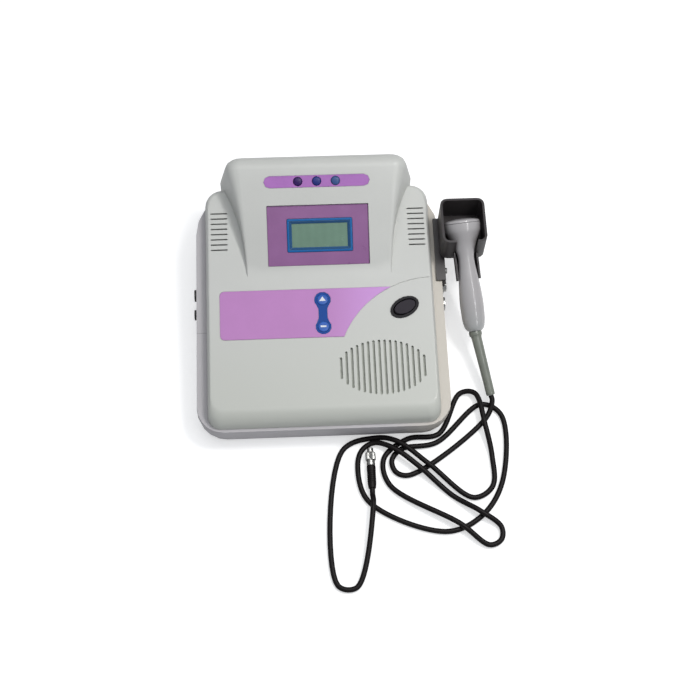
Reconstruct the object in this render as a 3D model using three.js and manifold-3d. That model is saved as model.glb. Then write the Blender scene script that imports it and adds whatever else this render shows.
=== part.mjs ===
// A desktop fetal doppler monitor: a moulded console with a raised display hood, a side holder with
// its hand probe, and the probe's cord lying on the table. Millimetres, +X right, +Y back, +Z up.
// The console frame has x = 0 on its centre plane, y = 0 at the cover's nose and z = 0 on the table.
import * as THREE from 'three';
import { mergeGeometries, mergeVertices } from 'three/addons/utils/BufferGeometryUtils.js';
import Module from 'manifold-3d';

const wasm = await Module();
wasm.setup();

// Fits shared by all pieces
const gap = 0.3; // between pieces that touch
const overrun = 20; // how far a cutting tool runs past what it cuts
const wall = 3; // moulded walls
const smallRound = 0.6; // broken edges of small mouldings

// Display, measured along the hood's face from its front line
const lcdViewWidth = 56.4;
const lcdViewHeight = 24;
const lcdBorder = 4.8; // blue frame round the view
const lcdAside = 1.6; // the display sits this far right of the middle
const lcdFrameProud = 0.6;
const lcdGlassMargin = 2.8;
const lcdGlassThick = 2.4;
const overlaySide = 18.5; // printed overlay beside the blue frame
const overlayRise = 13.8; // and above and below it
const overlayThick = 1.2;
const windowLow = 10.2;
const windowDepth = 3.6;
const windowLedge = 5;
const ledgeBack = 6;
const boardThick = 1.6;

// Indicator strip and lenses on the hood, behind the window
const lensRadius = 4.6;
const lensPitch = 19;
const lensDome = 1;
const lensDepth = 5;
const stripBand = 1.3; // strip above and below the lenses
const stripOver = 2; // the strip is this much longer than the window at each end
const stripBehind = 17.7; // from the window to the strip
const stripMargin = 6.85; // flat face behind the strip
const stripThick = 0.6;
const stripSink = 0.6;
const smallPost = 2.5; // radius of the posts that small boards hang from
const boardRim = 0.5; // board past its post

// Front label, arc step, keys and switch, measured along the deck from the nose
const labelLow = 85;
const labelToHood = 14.1;
const labelSide = 14; // from the cover's left edge
const labelRadius = 4.5;
const labelThick = 0.6;
const labelSink = 0.6;
const arcRadius = 101;
const arcMeetShare = 0.901; // where the arc meets the label's back edge
const arcStep = 1;
const arcFade = 88; // the step fades out over this distance towards the nose
const keyRadius = 5.6;
const keyInset = 11.9; // from the label's back edge
const keyOutset = 11; // from the label's front edge
const keyPitch = 28.6;
const keyToArc = 20.2; // from the keys to the arc at the label's front edge
const keyUpRim = 2.7;
const keyDownRim = 2.3;
const keyPlateWaist = 4.3;
const keyPlateTurn = THREE.MathUtils.degToRad(133.2); // half of the turn of its round ends
const keyProud = 1.3;
const keyFlange = 1.8;
const keyFlangeThick = 1.2;
const keyTravel = 0.6;
const keyPostX = 12;
const keyBoardMargin = 9;
const tactHeight = 3.2;
const tactSide = 6;
const switchSide = 31; // from the cover's right edge
const switchBelow = 22.3; // from the label's back edge
const switchTurn = THREE.MathUtils.degToRad(28);
const rockerLong = 11.9;
const rockerShort = 6.6;
const rockerRun = 0.9; // running gap to the bezel
const bezelWide = 1.5;
const bezelProud = 1.3;
const bezelLip = 1.3;
const rockerTilt = THREE.MathUtils.degToRad(8);
const rockerProud = 1.9;
const rockerDish = 0.9;
const pivotRadius = 1.3;
const rockerDepth = 3;
const pivotDepth = 2;
const switchDepth = 12;

// Speaker grille, vents and speaker
const grilleSide = 56; // from the cover's right edge
const grilleY = 52;
const grilleHalfHeight = 28.6;
const grilleSlots = 16;
const grillePitch = 5.5;
const grilleSlot = 2.5;
const grilleEnd = 3.75; // oval outline past the last slot
const ventCount = 8;
const ventPitch = 5.75;
const ventSlot = 1.5;
const ventLength = 17.6;
const ventSide = 14.4; // from the cover's edge
const ventBehind = 31.4; // from the hood's front line
const speakerRadius = 33;
const speakerRim = 3;
const speakerDepth = 18;
const magnetRadius = 15;
const magnetHeight = 8;
const coneThick = 1;

// Cover: the deck slopes up from its nose to its shoulders
const deckFrontHeight = 51;
const deckBackHeight = 74;
const coverSkirt = 16; // from the deck down to the seam
const edgeDrop = 12; // height of the rounded deck edge
const sideEdge = 4.5; // how far the deck edge draws in at the sides
const noseEdge = 14; // and at the nose
const shoulderEdge = 6; // and behind the shoulders
const coverNoseRadius = 13;
const coverShoulderRadius = 17;
const skirtDraft = 1.6;

// Hood: the raised wedge that carries the display
const hoodTilt = THREE.MathUtils.degToRad(25.3);
const hoodSide = 21.5; // face beside the window at the front line
const hoodTaper = 17; // the face is this much wider at the back, on each side
const hoodFrontLean = 0.6; // its foot stands out past its face at the front
const hoodBackLean = 9; // and at the back
const shoulder = 16; // deck beside the hood's foot at the back
const hoodOverhang = 17; // the hood runs this far past the deck
const hoodBackRadius = 14;
const hoodCornerFront = 2.5;
const hoodCornerBack = 12;
const hoodBackDraw = 9; // how far its back corners draw in
const hoodLead = 2; // starts this far ahead of its front line, under the deck
const hoodRoot = 3; // its sides start this far under the deck
const hoodGrowth = 1.6; // power by which its face widens on the way back
const footGrowth = 2.2; // and its foot

// Base tray
const baseSide = 11.5; // it stands out past the cover at its sides
const baseToe = 4; // and at its nose
const baseHeel = 3; // and at its back
const baseFlare = 6; // how far the walls swell past their foot
const baseBottom = 3.5;
const baseFrontRadius = 27;
const baseBackRadius = 44;
const wallOverSeam = 16; // of the uncut walls, over the seam at the back
const rimDepth = 3.5; // thickness of the ledge that the cover stands on
const rimInset = 4.2; // the ledge reaches in this far past the cover's edge
const bayInset = 11; // and this far past the hood's foot
const bayLip = 2.2; // the rear bay stands out past the hood by this
const bayDepth = 63;
const bayRadius = 15;

// Screws, posts and feet
const footRadius = 8;
const footStem = 3;
const footFrontSide = 28.5; // from the tray's side
const footToe = 31;
const footBackSide = 42.5;
const footHeel = 30;
const screwFrontSide = 43; // from the cover's side
const screwToe = 16;
const screwBackSide = 11;
const screwHeel = 20;
const screwShaft = 1.5;
const screwHead = 3.1;
const screwHeadHeight = 2.2;
const screwLength = 24;
const postRadius = 4.2;
const postSplit = 20; // height where the base post meets the cover post

// Boards, battery and power supply
const boardGap = 6; // main board above the tray floor
const mainBoardWidth = 130;
const mainBoardDepth = 96;
const mainBoardX = -30;
const mainBoardY = 92;
const shieldWidth = 46;
const shieldDepth = 34;
const shieldHeight = 9;
const shieldSheet = 1;
const chipHeight = 2.4;
const chipSide = 11;
const chipSpotShares = [
  [-0.32, 0.2],
  [-0.3, -0.25],
  [-0.05, 0.28],
  [-0.02, -0.2],
];
const batteryWidth = 98;
const batteryDepth = 46;
const batteryHeight = 24;
const batteryHeel = 45; // from the hood's back
const packGap = 18; // between battery and power supply
const supplyWidth = 72;
const supplyDepth = 62;
const supplyClear = 5.8; // from the right screw post
const supplyHeel = 32; // from the hood's back
const transformerSide = 40;
const transformerHeight = 30;
const coilShares = [0.6, 1.25, 0.7]; // of the transformer's sides and height
const standoffRadius = 3.2;

// Sockets
const socketAhead = 17; // from the holder's front to the probe socket
const socketPitch = 20; // from the probe socket to the earphone socket
const chargeSocketY = 150;
const dataSocketY = 128;
const socketClear = 1.7; // between the probe socket's nut and the bracket over it
const socketLength = 15;
const probeSocketRadius = 5.4;
const probeSocketBore = 3.5;
const probeSocketProud = 5;
const earSocketRadius = 5.2;
const earSocketBore = 3.2;
const earSocketProud = 2.4;
const chargeSocketRadius = 4.4;
const chargeSocketBore = 2.8;
const chargePin = 1;
const dataSocketRadius = 3.6;
const dataSocketBore = 1.8;
const leftSocketProud = 1.2;
const socketNut = 1.8;

// Probe, along its own axis from the middle of its face to its cord end
const probeYaw = THREE.MathUtils.degToRad(6.2);
const probePitch = THREE.MathUtils.degToRad(27);
const probeLength = 112.4;
const probeHeadRadius = 18.4;
const probeNeckRadius = 8.2;
const probeGripRadius = 12;
const probeEndRadius = 7.2;
const probeNeckAt = 37;
const probeGripAt = 88;
const probeWall = 2;
const faceThick = 2.2;
const faceDome = 1.6;
const crystalRadius = 11;
const crystalThick = 2.4;
const probeBoardLength = 46;
const probeBoardWidth = 11;
// Its head, grip and end: [radius towards the wider size, height along the stretch]
const headShares = [[1, 0], [1, 0.1], [0.93, 0.24], [0.66, 0.42], [0.34, 0.62], [0.1, 0.84], [0, 1]];
const gripShares = [[0.08, 0.16], [0.42, 0.38], [0.8, 0.66], [1, 0.9], [1, 1]];
const tailShares = [[0.97, 0.25], [0.85, 0.6], [0.5, 0.88], [0, 1]];

// Strain relief and cord
const reliefLength = 66;
const reliefStart = 5.2;
const reliefTip = 4.4;
const reliefCollar = 6.6;
const collarLength = 3.5;
const reliefSwing = THREE.MathUtils.degToRad(5.5);
const cordExitHeight = 12.7;
const cordRadius = 2.7;
const cordSides = 8;
const cordRest = 0.05; // under the cord on the table
const cordStepsPerPoint = 2;

// Plug, along its own axis from its tip, placed from the tray's right front corner
const plugAside = 74.2;
const plugAhead = 18.8;
const plugNose = 3.1;
const plugNoseLength = 4;
const plugShoulder = 1;
const plugCore = 3.6;
const plugRing = 5.1;
const plugRingLength = 8;
const ringKnurls = 12;
const knurlDepth = 0.4;
const plugRear = 4.2;
const plugBodyLength = 18.4;
const bootWide = 4.45;
const bootNarrow = 3.6;
const bootTaperShare = 0.75; // where along the plug the boot starts to narrow
const plugLength = 42.2;

// Probe holder and its bracket on the right wall
const holderOut = 9.4; // from the cover's side
const holderFront = 169;
const holderDepth = 50.5;
const holderHeight = 34;
const holderLift = 2.9; // over the seam at its back
const holderWall = 2.4;
const holderRoom = 1.8; // beside the probe's head
const holderRadius = 7;
const probeAside = 1; // the probe leans this far to the left in its holder
const probeBehind = 21.5; // from its face to the holder's back
const probeSunk = 9; // middle of its face under the holder's rim
const slotHalf = 10.8;
const chuteStart = 31;
const chuteEnd = 60;
const chuteWall = 2;
const bracketAhead = 21; // the bracket runs this far ahead of the holder
const bracketShort = 3.5; // and stops this far before its back
const bracketThick = 3;
const bracketFlange = 2.4;
const bracketHook = 6.7; // how far its hook reaches in over the tray's ledge
const bracketTuck = 0.2; // it lies this far inside the tray's widest line
const bracketDrop = 12;
const shelfAhead = 9; // from the holder's front
const shelfShort = 5.5; // and from its back
const shelfReach = 30;
const gussetShare = 0.8; // of the shelf's reach
const bracketScrewInset = 14;
const bracketScrewLength = 13;

// Plan of the console. The display sets the hood's width and the hood sets the cover's; the label
// and the hood's face set the depth.
const lcdFrameWidth = lcdViewWidth + 2 * lcdBorder;
const lcdFrameHeight = lcdViewHeight + 2 * lcdBorder;
const windowHalfWidth = lcdFrameWidth / 2 + overlaySide;
const windowHigh = windowLow + lcdFrameHeight + 2 * overlayRise;
const windowMiddle = (windowLow + windowHigh) / 2;
const stripHeight = 2 * (lensRadius + stripBand);
const stripHalfLength = windowHalfWidth + stripOver;
const stripAt = windowHigh + stripBehind + stripHeight / 2;
const labelHigh = labelLow + keyOutset + keyPitch + keyInset;
const hoodFront = labelHigh + labelToHood;
const hoodFaceLength = stripAt + stripHeight / 2 + stripMargin;
const hoodBackCentre = hoodFront + hoodFaceLength * Math.cos(hoodTilt) + hoodBackRadius * Math.sin(hoodTilt);
const hoodBack = hoodBackCentre + hoodBackRadius;
const hoodFaceFront = windowHalfWidth + hoodSide;
const hoodFaceBack = hoodFaceFront + hoodTaper;
const hoodFootFront = hoodFaceFront + hoodFrontLean;
const hoodFootBack = hoodFaceBack + hoodBackLean;
const coverHalfWidth = hoodFootBack + shoulder;
const coverDepth = hoodBack - hoodOverhang;
const baseHalfWidth = coverHalfWidth + baseSide;
const baseBack = coverDepth + baseHeel;
const bayFront = hoodBack - bayDepth;

// Heights
const deckSlope = (deckBackHeight - deckFrontHeight) / coverDepth;
const deckTilt = Math.atan(deckSlope);
const deckAt = (y) => deckFrontHeight + deckSlope * y;
const faceAt = (y) => deckAt(hoodFront) + Math.tan(hoodTilt) * (y - hoodFront);
const seamAt = (y) => deckAt(y) - coverSkirt;
const floorTop = baseBottom + wall;
const baseWallHeight = seamAt(hoodBack) - baseBottom + wallOverSeam;

// Places on the deck and hood
const labelLeft = labelSide - coverHalfWidth;
const arcCentreX = coverHalfWidth;
const arcCentreY = labelHigh - arcRadius * arcMeetShare;
const keyAcross = arcCentreX - Math.sqrt(arcRadius ** 2 - (labelLow - arcCentreY) ** 2) - keyToArc;
const keyUpAt = labelHigh - keyInset;
const keyDownAt = keyUpAt - keyPitch;
const keyMiddle = (keyUpAt + keyDownAt) / 2;
const switchX = coverHalfWidth - switchSide;
const switchY = labelHigh - switchBelow;
const grilleX = coverHalfWidth - grilleSide;
const grilleHalfWidth = ((grilleSlots - 1) / 2) * grillePitch + grilleEnd;
const ventAcross = coverHalfWidth - ventSide;
const ventLow = hoodFront + ventBehind;
const overlayTop = -windowDepth + gap + overlayThick;
const keyFoot = -wall - gap - keyFlangeThick;
const tactTop = keyFoot - keyTravel - gap;
const keyBoardTop = tactTop - tactHeight;
const indicatorBoardTop = -lensDepth - gap;
const indicatorPostX = lensPitch + lensRadius + 3 * gap + smallPost;
const indicatorBoardHalf = indicatorPostX + smallPost + boardRim;

// Places inside and round the tray
const screwBackX = coverHalfWidth - screwBackSide;
const bothSides = (spots) => spots.flatMap(([x, y]) => [[-x, y], [x, y]]);
const screwSpots = bothSides([
  [coverHalfWidth - screwFrontSide, screwToe],
  [screwBackX, coverDepth - screwHeel],
]);
const footSpots = bothSides([
  [baseHalfWidth - footFrontSide, footToe - baseToe],
  [baseHalfWidth - footBackSide, baseBack - footHeel],
]);
const supplyX = screwBackX - postRadius - supplyClear - supplyWidth / 2;
const supplyY = hoodBack - supplyHeel - supplyDepth / 2;
const batteryX = supplyX - supplyWidth / 2 - packGap - batteryWidth / 2;
const batteryY = hoodBack - batteryHeel - batteryDepth / 2;
const probeSocketY = holderFront - socketAhead;
const socketHeight = seamAt(probeSocketY) - bracketDrop - socketClear - socketNut - probeSocketRadius;
const holderBack = holderFront + holderDepth;
const holderLeft = coverHalfWidth + holderOut;
const holderRight = holderLeft + 2 * (probeHeadRadius + holderRoom + holderWall);
const holderBottom = seamAt(holderBack) + holderLift;
const holderRim = holderBottom + holderHeight;
const bracketPlate = baseHalfWidth - bracketTuck;
const bracketFront = holderFront - bracketAhead;
const bracketBack = holderBack - bracketShort;
const shelfFront = holderFront + shelfAhead;
const shelfBack = holderBack - shelfShort;
const bracketScrews = [bracketFront + bracketScrewInset, bracketBack - bracketScrewInset];

const X = new THREE.Vector3(1, 0, 0);
const Y = new THREE.Vector3(0, 1, 0);
const Z = new THREE.Vector3(0, 0, 1);
const quarter = Math.PI / 2;

// Closed geometry to a solid for cutting and joining
function solid(geometry, matrix) {
  const bare = geometry.clone();
  bare.deleteAttribute('normal');
  bare.deleteAttribute('uv');
  if (matrix) bare.applyMatrix4(matrix);
  const merged = mergeVertices(bare);
  const index = merged.index.array;
  const faces = [];
  for (let i = 0; i < index.length; i += 3) {
    const [a, b, c] = [index[i], index[i + 1], index[i + 2]];
    if (a !== b && b !== c && c !== a) faces.push(a, b, c);
  }
  const vertProperties = new Float32Array(merged.attributes.position.array);
  const triVerts = new Uint32Array(faces);
  return new wasm.Manifold(new wasm.Mesh({ numProp: 3, vertProperties, triVerts }));
}

// A solid back to a geometry
function geometryOf(manifold) {
  const mesh = manifold.getMesh();
  const geometry = new THREE.BufferGeometry();
  const points = new Float32Array(mesh.vertProperties);
  geometry.setAttribute('position', new THREE.BufferAttribute(points, 3));
  geometry.setIndex(new THREE.BufferAttribute(new Uint32Array(mesh.triVerts), 1));
  geometry.computeVertexNormals();
  return geometry;
}

const cut = (body, ...tools) => tools.reduce((left, tool) => left.subtract(tool), body);
const join = (body, ...others) => others.reduce((left, other) => left.add(other), body);
const solids = (geometries, matrix) => geometries.map((geometry) => solid(geometry, matrix));

// The same faces, turned to point out of the body
function outward(geometry) {
  const points = geometry.attributes.position;
  const index = geometry.index ? [...geometry.index.array] : [...Array(points.count).keys()];
  const [a, b, c] = [new THREE.Vector3(), new THREE.Vector3(), new THREE.Vector3()];
  let volume = 0;
  for (let i = 0; i < index.length; i += 3) {
    a.fromBufferAttribute(points, index[i]);
    b.fromBufferAttribute(points, index[i + 1]);
    c.fromBufferAttribute(points, index[i + 2]);
    volume += a.dot(b.cross(c));
  }
  if (volume < 0) {
    for (let i = 0; i < index.length; i += 3) [index[i], index[i + 1]] = [index[i + 1], index[i]];
  }
  geometry.setIndex(index);
  return geometry;
}

// A skin over rings that have the same number of points, closed at both ends
function loft(rings) {
  const count = rings[0].length;
  const points = rings.flat();
  const faces = [];
  for (let r = 0; r + 1 < rings.length; r += 1) {
    for (let i = 0; i < count; i += 1) {
      const a = r * count + i;
      const b = r * count + ((i + 1) % count);
      faces.push(a, b, b + count, a, b + count, a + count);
    }
  }
  for (const first of [0, (rings.length - 1) * count]) {
    const middle = new THREE.Vector3();
    for (let i = 0; i < count; i += 1) middle.addScaledVector(points[first + i], 1 / count);
    points.push(middle);
    for (let i = 0; i < count; i += 1) {
      const a = first + i;
      const b = first + ((i + 1) % count);
      if (first === 0) faces.push(points.length - 1, b, a);
      else faces.push(points.length - 1, a, b);
    }
  }
  const geometry = new THREE.BufferGeometry().setFromPoints(points);
  geometry.setIndex(faces);
  return outward(geometry);
}

// Outline of a rounded rectangle, with its own radius at each end along Y
function roundedOutline(left, right, low, high, lowRadius, highRadius, steps = 5) {
  const corners = [
    [right - lowRadius, low + lowRadius, lowRadius, -quarter],
    [right - highRadius, high - highRadius, highRadius, 0],
    [left + highRadius, high - highRadius, highRadius, quarter],
    [left + lowRadius, low + lowRadius, lowRadius, 2 * quarter],
  ];
  const outline = [];
  for (const [x, y, radius, from] of corners) {
    for (let i = 0; i <= steps; i += 1) {
      const angle = from + (quarter * i) / steps;
      outline.push(new THREE.Vector2(x + radius * Math.cos(angle), y + radius * Math.sin(angle)));
    }
  }
  return outline;
}

const ringAt = (outline, z) => outline.map((p) => new THREE.Vector3(p.x, p.y, z));
const outlineOf = (pairs) => pairs.map(([x, y]) => new THREE.Vector2(x, y));

// An outline given a thickness along Z
function plate(outline, low, high, holes = []) {
  const shape = new THREE.Shape(outline);
  shape.holes = holes.map((hole) => new THREE.Path(hole));
  const geometry = new THREE.ExtrudeGeometry(shape, { depth: high - low, bevelEnabled: false, steps: 1 });
  return geometry.translate(0, 0, low);
}

function block(width, depth, height, x, y, low) {
  return new THREE.BoxGeometry(width, depth, height).translate(x, y, low + height / 2);
}

// A straight round bar or disc that stands on the plane z = low
function disc(radius, low, high, x = 0, y = 0, sides = 16) {
  const geometry = new THREE.CylinderGeometry(radius, radius, high - low, sides);
  return geometry.rotateX(quarter).translate(x, y, (low + high) / 2);
}

// A profile of [radius, height] pairs turned about the Z axis
function turned(profile, sides = 14) {
  return outward(new THREE.LatheGeometry(outlineOf(profile), sides).rotateX(quarter));
}

function ellipse(x, y, long, short, turn, sides = 20) {
  const outline = [];
  for (let i = 0; i < sides; i += 1) {
    const angle = (4 * quarter * i) / sides;
    const point = new THREE.Vector2(long * Math.cos(angle), short * Math.sin(angle));
    outline.push(point.rotateAround(new THREE.Vector2(), turn).add(new THREE.Vector2(x, y)));
  }
  return outline;
}

const circle = (x, y, radius, sides = 16) => ellipse(x, y, radius, radius, 0, sides);

// An oblong with round ends, a little under full so that no two of its points meet
const stadiumShare = 0.999;

function stadium(x, y, halfX, halfY, steps = 2) {
  const radius = Math.min(halfX, halfY) * stadiumShare;
  return roundedOutline(x - halfX, x + halfX, y - halfY, y + halfY, radius, radius, steps);
}

function matrixOf(position, turn) {
  return new THREE.Matrix4().compose(position, turn, new THREE.Vector3(1, 1, 1));
}

const deckMatrix = matrixOf(
  new THREE.Vector3(0, 0, deckFrontHeight),
  new THREE.Quaternion().setFromAxisAngle(X, deckTilt),
);
const hoodMatrix = matrixOf(
  new THREE.Vector3(0, hoodFront, deckAt(hoodFront)),
  new THREE.Quaternion().setFromAxisAngle(X, hoodTilt),
);
const deckTool = (geometry) => solid(geometry, deckMatrix);
const hoodTool = (geometry) => solid(geometry, hoodMatrix);

// Materials
const finish = (color, roughness = 0.5, metalness = 0) =>
  new THREE.MeshStandardMaterial({ color, roughness, metalness });
const bodyPlastic = finish(0xc6c6c2, 0.45);
const basePlastic = finish(0xa9a8ab, 0.5);
const mauve = finish(0x9a6b9c, 0.35);
const lilac = finish(0xbd84c2, 0.35);
const blue = finish(0x1b5f9e, 0.35);
const lcdGreen = finish(0x6c8878, 0.2);
const keyBlue = finish(0x2b57a0, 0.4);
const black = finish(0x232022, 0.45);
const lensBlue = finish(0x2a2f6a, 0.15);
const boardGreen = finish(0x1f6a3c, 0.5);
const metal = finish(0xb9b9b6, 0.25, 1);
const probeGrey = finish(0xaaa9aa, 0.3);
const reliefGrey = finish(0x787d76, 0.55);
const cordBlack = finish(0x1c1416, 0.45);
const rubber = finish(0x1e1e1f, 0.8);
const paper = finish(0x3a3833, 0.9);
const wrap = finish(0x2f5d8c, 0.4);

const root = new THREE.Group();
const console_ = new THREE.Group();
const deckFrame = new THREE.Group();
const hoodFrame = new THREE.Group();
deckFrame.applyMatrix4(deckMatrix);
hoodFrame.applyMatrix4(hoodMatrix);
console_.add(deckFrame, hoodFrame);
root.add(console_);

function add(parent, name, geometry, material) {
  const mesh = new THREE.Mesh(geometry, material);
  mesh.name = name;
  parent.add(mesh);
  return mesh;
}

const addSolid = (parent, name, body, material) => add(parent, name, geometryOf(body), material);

// The deck with its rounded edges, drawn in by inset and carried down past the seam
function deckBody(inset, steps) {
  const ringOf = (drop, drawn) => {
    const outline = roundedOutline(
      -coverHalfWidth + sideEdge * drawn + inset,
      coverHalfWidth - sideEdge * drawn - inset,
      noseEdge * drawn + inset,
      coverDepth - shoulderEdge * drawn - inset,
      coverNoseRadius - inset,
      coverShoulderRadius - inset,
      steps,
    );
    return outline.map((p) => new THREE.Vector3(p.x, p.y, deckAt(p.y) - drop - inset));
  };
  const rings = [];
  for (let i = steps; i >= 0; i -= 1) {
    const angle = (quarter * i) / steps;
    rings.push(ringOf(edgeDrop * (1 - Math.sin(angle)), 1 - Math.cos(angle)));
  }
  rings.push(ringOf(coverSkirt + overrun, -skirtDraft / sideEdge));
  return solid(loft(rings));
}

// The hood: cross sections that grow towards the back and round over to the back wall
function hoodBody(inset, steps) {
  const centreZ = faceAt(hoodBackCentre) - hoodBackRadius / Math.cos(hoodTilt);
  const radius = hoodBackRadius - inset;
  const stations = [];
  const flatStart = hoodFront - hoodLead;
  const flatEnd = hoodBackCentre - hoodBackRadius * Math.sin(hoodTilt);
  for (let i = 0; i < steps; i += 1) {
    const y = flatStart + ((flatEnd - flatStart) * i) / steps;
    stations.push([y + inset * Math.sin(hoodTilt), faceAt(y) - inset * Math.cos(hoodTilt), 0]);
  }
  for (let i = 0; i <= steps; i += 1) {
    const angle = -hoodTilt + ((quarter + hoodTilt) * i) / steps;
    const drawn = angle > 0 ? 1 - Math.cos(angle) : 0;
    stations.push([hoodBackCentre + radius * Math.sin(angle), centreZ + radius * Math.cos(angle), drawn]);
  }
  return solid(loft(stations.map(([y, top, drawn]) => hoodSection(y, top, drawn, inset, steps))));
}

// Its widths and corners grow by powers of the way back, as the moulding's do
function hoodSection(y, top, drawn, inset, steps) {
  const share = THREE.MathUtils.clamp((y - hoodFront) / (hoodBackCentre - hoodFront), 0, 1);
  const draw = inset + hoodBackDraw * drawn;
  const face = hoodFaceFront + (hoodFaceBack - hoodFaceFront) * share ** hoodGrowth - draw;
  const foot = hoodFootFront + (hoodFootBack - hoodFootFront) * share ** footGrowth - draw;
  const corner = hoodCornerFront + (hoodCornerBack - hoodCornerFront) * share ** hoodGrowth;
  const low = deckAt(y) - hoodRoot - inset;
  const side = new THREE.Vector2(foot - face, low - top).normalize();
  const reach = Math.min(corner, (top - low) / 2);
  const apex = new THREE.Vector2(face, top);
  const from = apex.clone().addScaledVector(side, reach);
  const arc = new THREE.QuadraticBezierCurve(from, apex, new THREE.Vector2(face - reach, top));
  const skirt = [new THREE.Vector2(foot, seamAt(y) - overrun), new THREE.Vector2(foot, low)];
  const half = [...skirt, ...arc.getPoints(Math.ceil(steps / 2) + 1)];
  const left = half.map((p) => new THREE.Vector3(-p.x, y, p.y)).reverse();
  return [...half.map((p) => new THREE.Vector3(p.x, y, p.y)), ...left];
}

// Everything on one side of the sloping seam, moved by an offset
function seamHalf(side, offset) {
  const reach = 2 * (coverDepth + coverHalfWidth);
  const tool = block(reach, reach, reach, 0, 0, side > 0 ? 0 : -reach);
  const place = matrixOf(
    new THREE.Vector3(0, 0, deckFrontHeight - coverSkirt + offset),
    new THREE.Quaternion().setFromAxisAngle(X, deckTilt),
  );
  return solid(tool, place);
}

// Outline of the lilac label: a rectangle whose right edge follows the arc
function labelOutline(inset) {
  const edge = arcRadius + inset;
  const low = labelLow + inset;
  const high = labelHigh - inset;
  const angleAt = (y) => Math.PI - Math.asin((y - arcCentreY) / edge);
  const outline = [];
  const steps = 12;
  for (let i = 0; i <= steps; i += 1) {
    const angle = angleAt(low) + ((angleAt(high) - angleAt(low)) * i) / steps;
    const [along, up] = [edge * Math.cos(angle), edge * Math.sin(angle)];
    outline.push(new THREE.Vector2(arcCentreX + along, arcCentreY + up));
  }
  const plain = roundedOutline(labelLeft + inset, arcCentreX, low, high, labelRadius, labelRadius, 3);
  return [...outline, ...plain.slice(plain.length / 2)];
}

// Outline of the bone-shaped key plate
function boneOutline(grow) {
  const lobe = (y, rim, middle) => {
    const radius = keyRadius + rim + grow;
    const steps = 9;
    return Array.from({ length: steps + 1 }, (_, i) => {
      const angle = middle + keyPlateTurn * ((2 * i) / steps - 1);
      return new THREE.Vector2(keyAcross + radius * Math.cos(angle), y + radius * Math.sin(angle));
    });
  };
  const waist = keyPlateWaist + grow;
  const half = keyPitch / 6;
  const side = (way) =>
    outlineOf([
      [keyAcross - way * waist, keyMiddle + way * half],
      [keyAcross - way * waist, keyMiddle - way * half],
    ]);
  const upper = lobe(keyUpAt, keyUpRim, quarter);
  const lower = lobe(keyDownAt, keyDownRim, -quarter);
  return [...upper, ...side(1), ...lower, ...side(-1)];
}

// How deep the arc's step is at a place along the deck
const stepAt = (y) => (arcStep * (y - arcCentreY - arcRadius + arcFade)) / arcFade;
const merged = (geometries) => mergeGeometries(geometries.map((g) => (g.index ? g.toNonIndexed() : g)));

function grilleTools() {
  const slots = [];
  for (let i = 0; i < grilleSlots; i += 1) {
    const aside = (i - (grilleSlots - 1) / 2) * grillePitch;
    const reach = grilleHalfHeight * Math.sqrt(1 - (aside / grilleHalfWidth) ** 2);
    const outline = stadium(grilleX + aside, grilleY, grilleSlot / 2, reach);
    slots.push(plate(outline, -overrun / 2, overrun / 2));
  }
  return merged(slots);
}

function ventTools() {
  const slots = [];
  for (const side of [-1, 1]) {
    for (let i = 0; i < ventCount; i += 1) {
      const y = ventLow + i * ventPitch;
      const outline = stadium(side * ventAcross, y, ventLength / 2, ventSlot / 2, 1);
      slots.push(plate(outline, -overrun / 2, overrun / 2));
    }
  }
  return merged(slots);
}

function arcTool() {
  const pivot = arcCentreY + arcRadius - arcFade;
  const tool = disc(arcRadius, 0, overrun, arcCentreX, arcCentreY, 56);
  return tool.translate(0, -pivot, 0).rotateX(-Math.atan(arcStep / arcFade)).translate(0, pivot, 0);
}

function windowOutline(grow) {
  const half = windowHalfWidth + grow;
  return roundedOutline(-half, half, windowLow - grow, windowHigh + grow, smallRound, smallRound, 2);
}

function switchOutline(grow) {
  const [long, short] = [rockerLong + rockerRun + grow, rockerShort + rockerRun + grow];
  return ellipse(switchX, switchY, long, short, switchTurn);
}

function topCover() {
  let body = join(deckBody(0, 5), hoodBody(0, 6)).subtract(seamHalf(-1, gap / 2));
  body = body.subtract(join(deckBody(wall, 2), hoodBody(wall, 2)));
  const posts = screwSpots.map(([x, y]) =>
    solid(disc(postRadius, postSplit + gap / 2, deckAt(y) - wall / 2, x, y, 10)),
  );
  const pilots = screwSpots.map(([x, y]) =>
    solid(disc(screwShaft + gap, 0, baseBottom + screwLength + gap, x, y, 8)),
  );
  const keyPosts = [-1, 1].map((side) =>
    disc(smallPost, keyBoardTop + gap, -wall / 2, keyAcross + side * keyPostX, keyMiddle, 8),
  );
  const stripPosts = [-1, 1].map((side) =>
    disc(smallPost, indicatorBoardTop + gap, -wall / 2, side * indicatorPostX, stripAt, 8),
  );
  const ledge = plate(windowOutline(windowLedge), -ledgeBack, -wall / 2);
  const stripRecess = stadium(0, stripAt, stripHalfLength + gap, stripHeight / 2 + gap);
  const lensHoles = [-1, 0, 1].map((i) =>
    disc(lensRadius + gap, -overrun / 2, overrun, i * lensPitch, stripAt, 12),
  );
  const keyHoles = [keyUpAt, keyDownAt].map((y) =>
    disc(keyRadius + gap, -overrun / 2, overrun, keyAcross, y, 12),
  );
  body = join(body, ...posts, ...solids(keyPosts, deckMatrix), ...solids([...stripPosts, ledge], hoodMatrix));
  return cut(
    body,
    ...pilots,
    hoodTool(plate(windowOutline(0), -windowDepth, overrun)),
    hoodTool(plate(windowOutline(-windowLedge), -overrun, overrun)),
    hoodTool(plate(stripRecess, -stripSink, overrun)),
    deckTool(arcTool()),
    deckTool(plate(labelOutline(-gap), -labelSink, overrun)),
    deckTool(grilleTools()),
    deckTool(ventTools()),
    deckTool(plate(switchOutline(bezelWide + gap), -overrun, overrun)),
    ...solids(lensHoles, hoodMatrix),
    ...solids(keyHoles, deckMatrix),
  );
}

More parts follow.
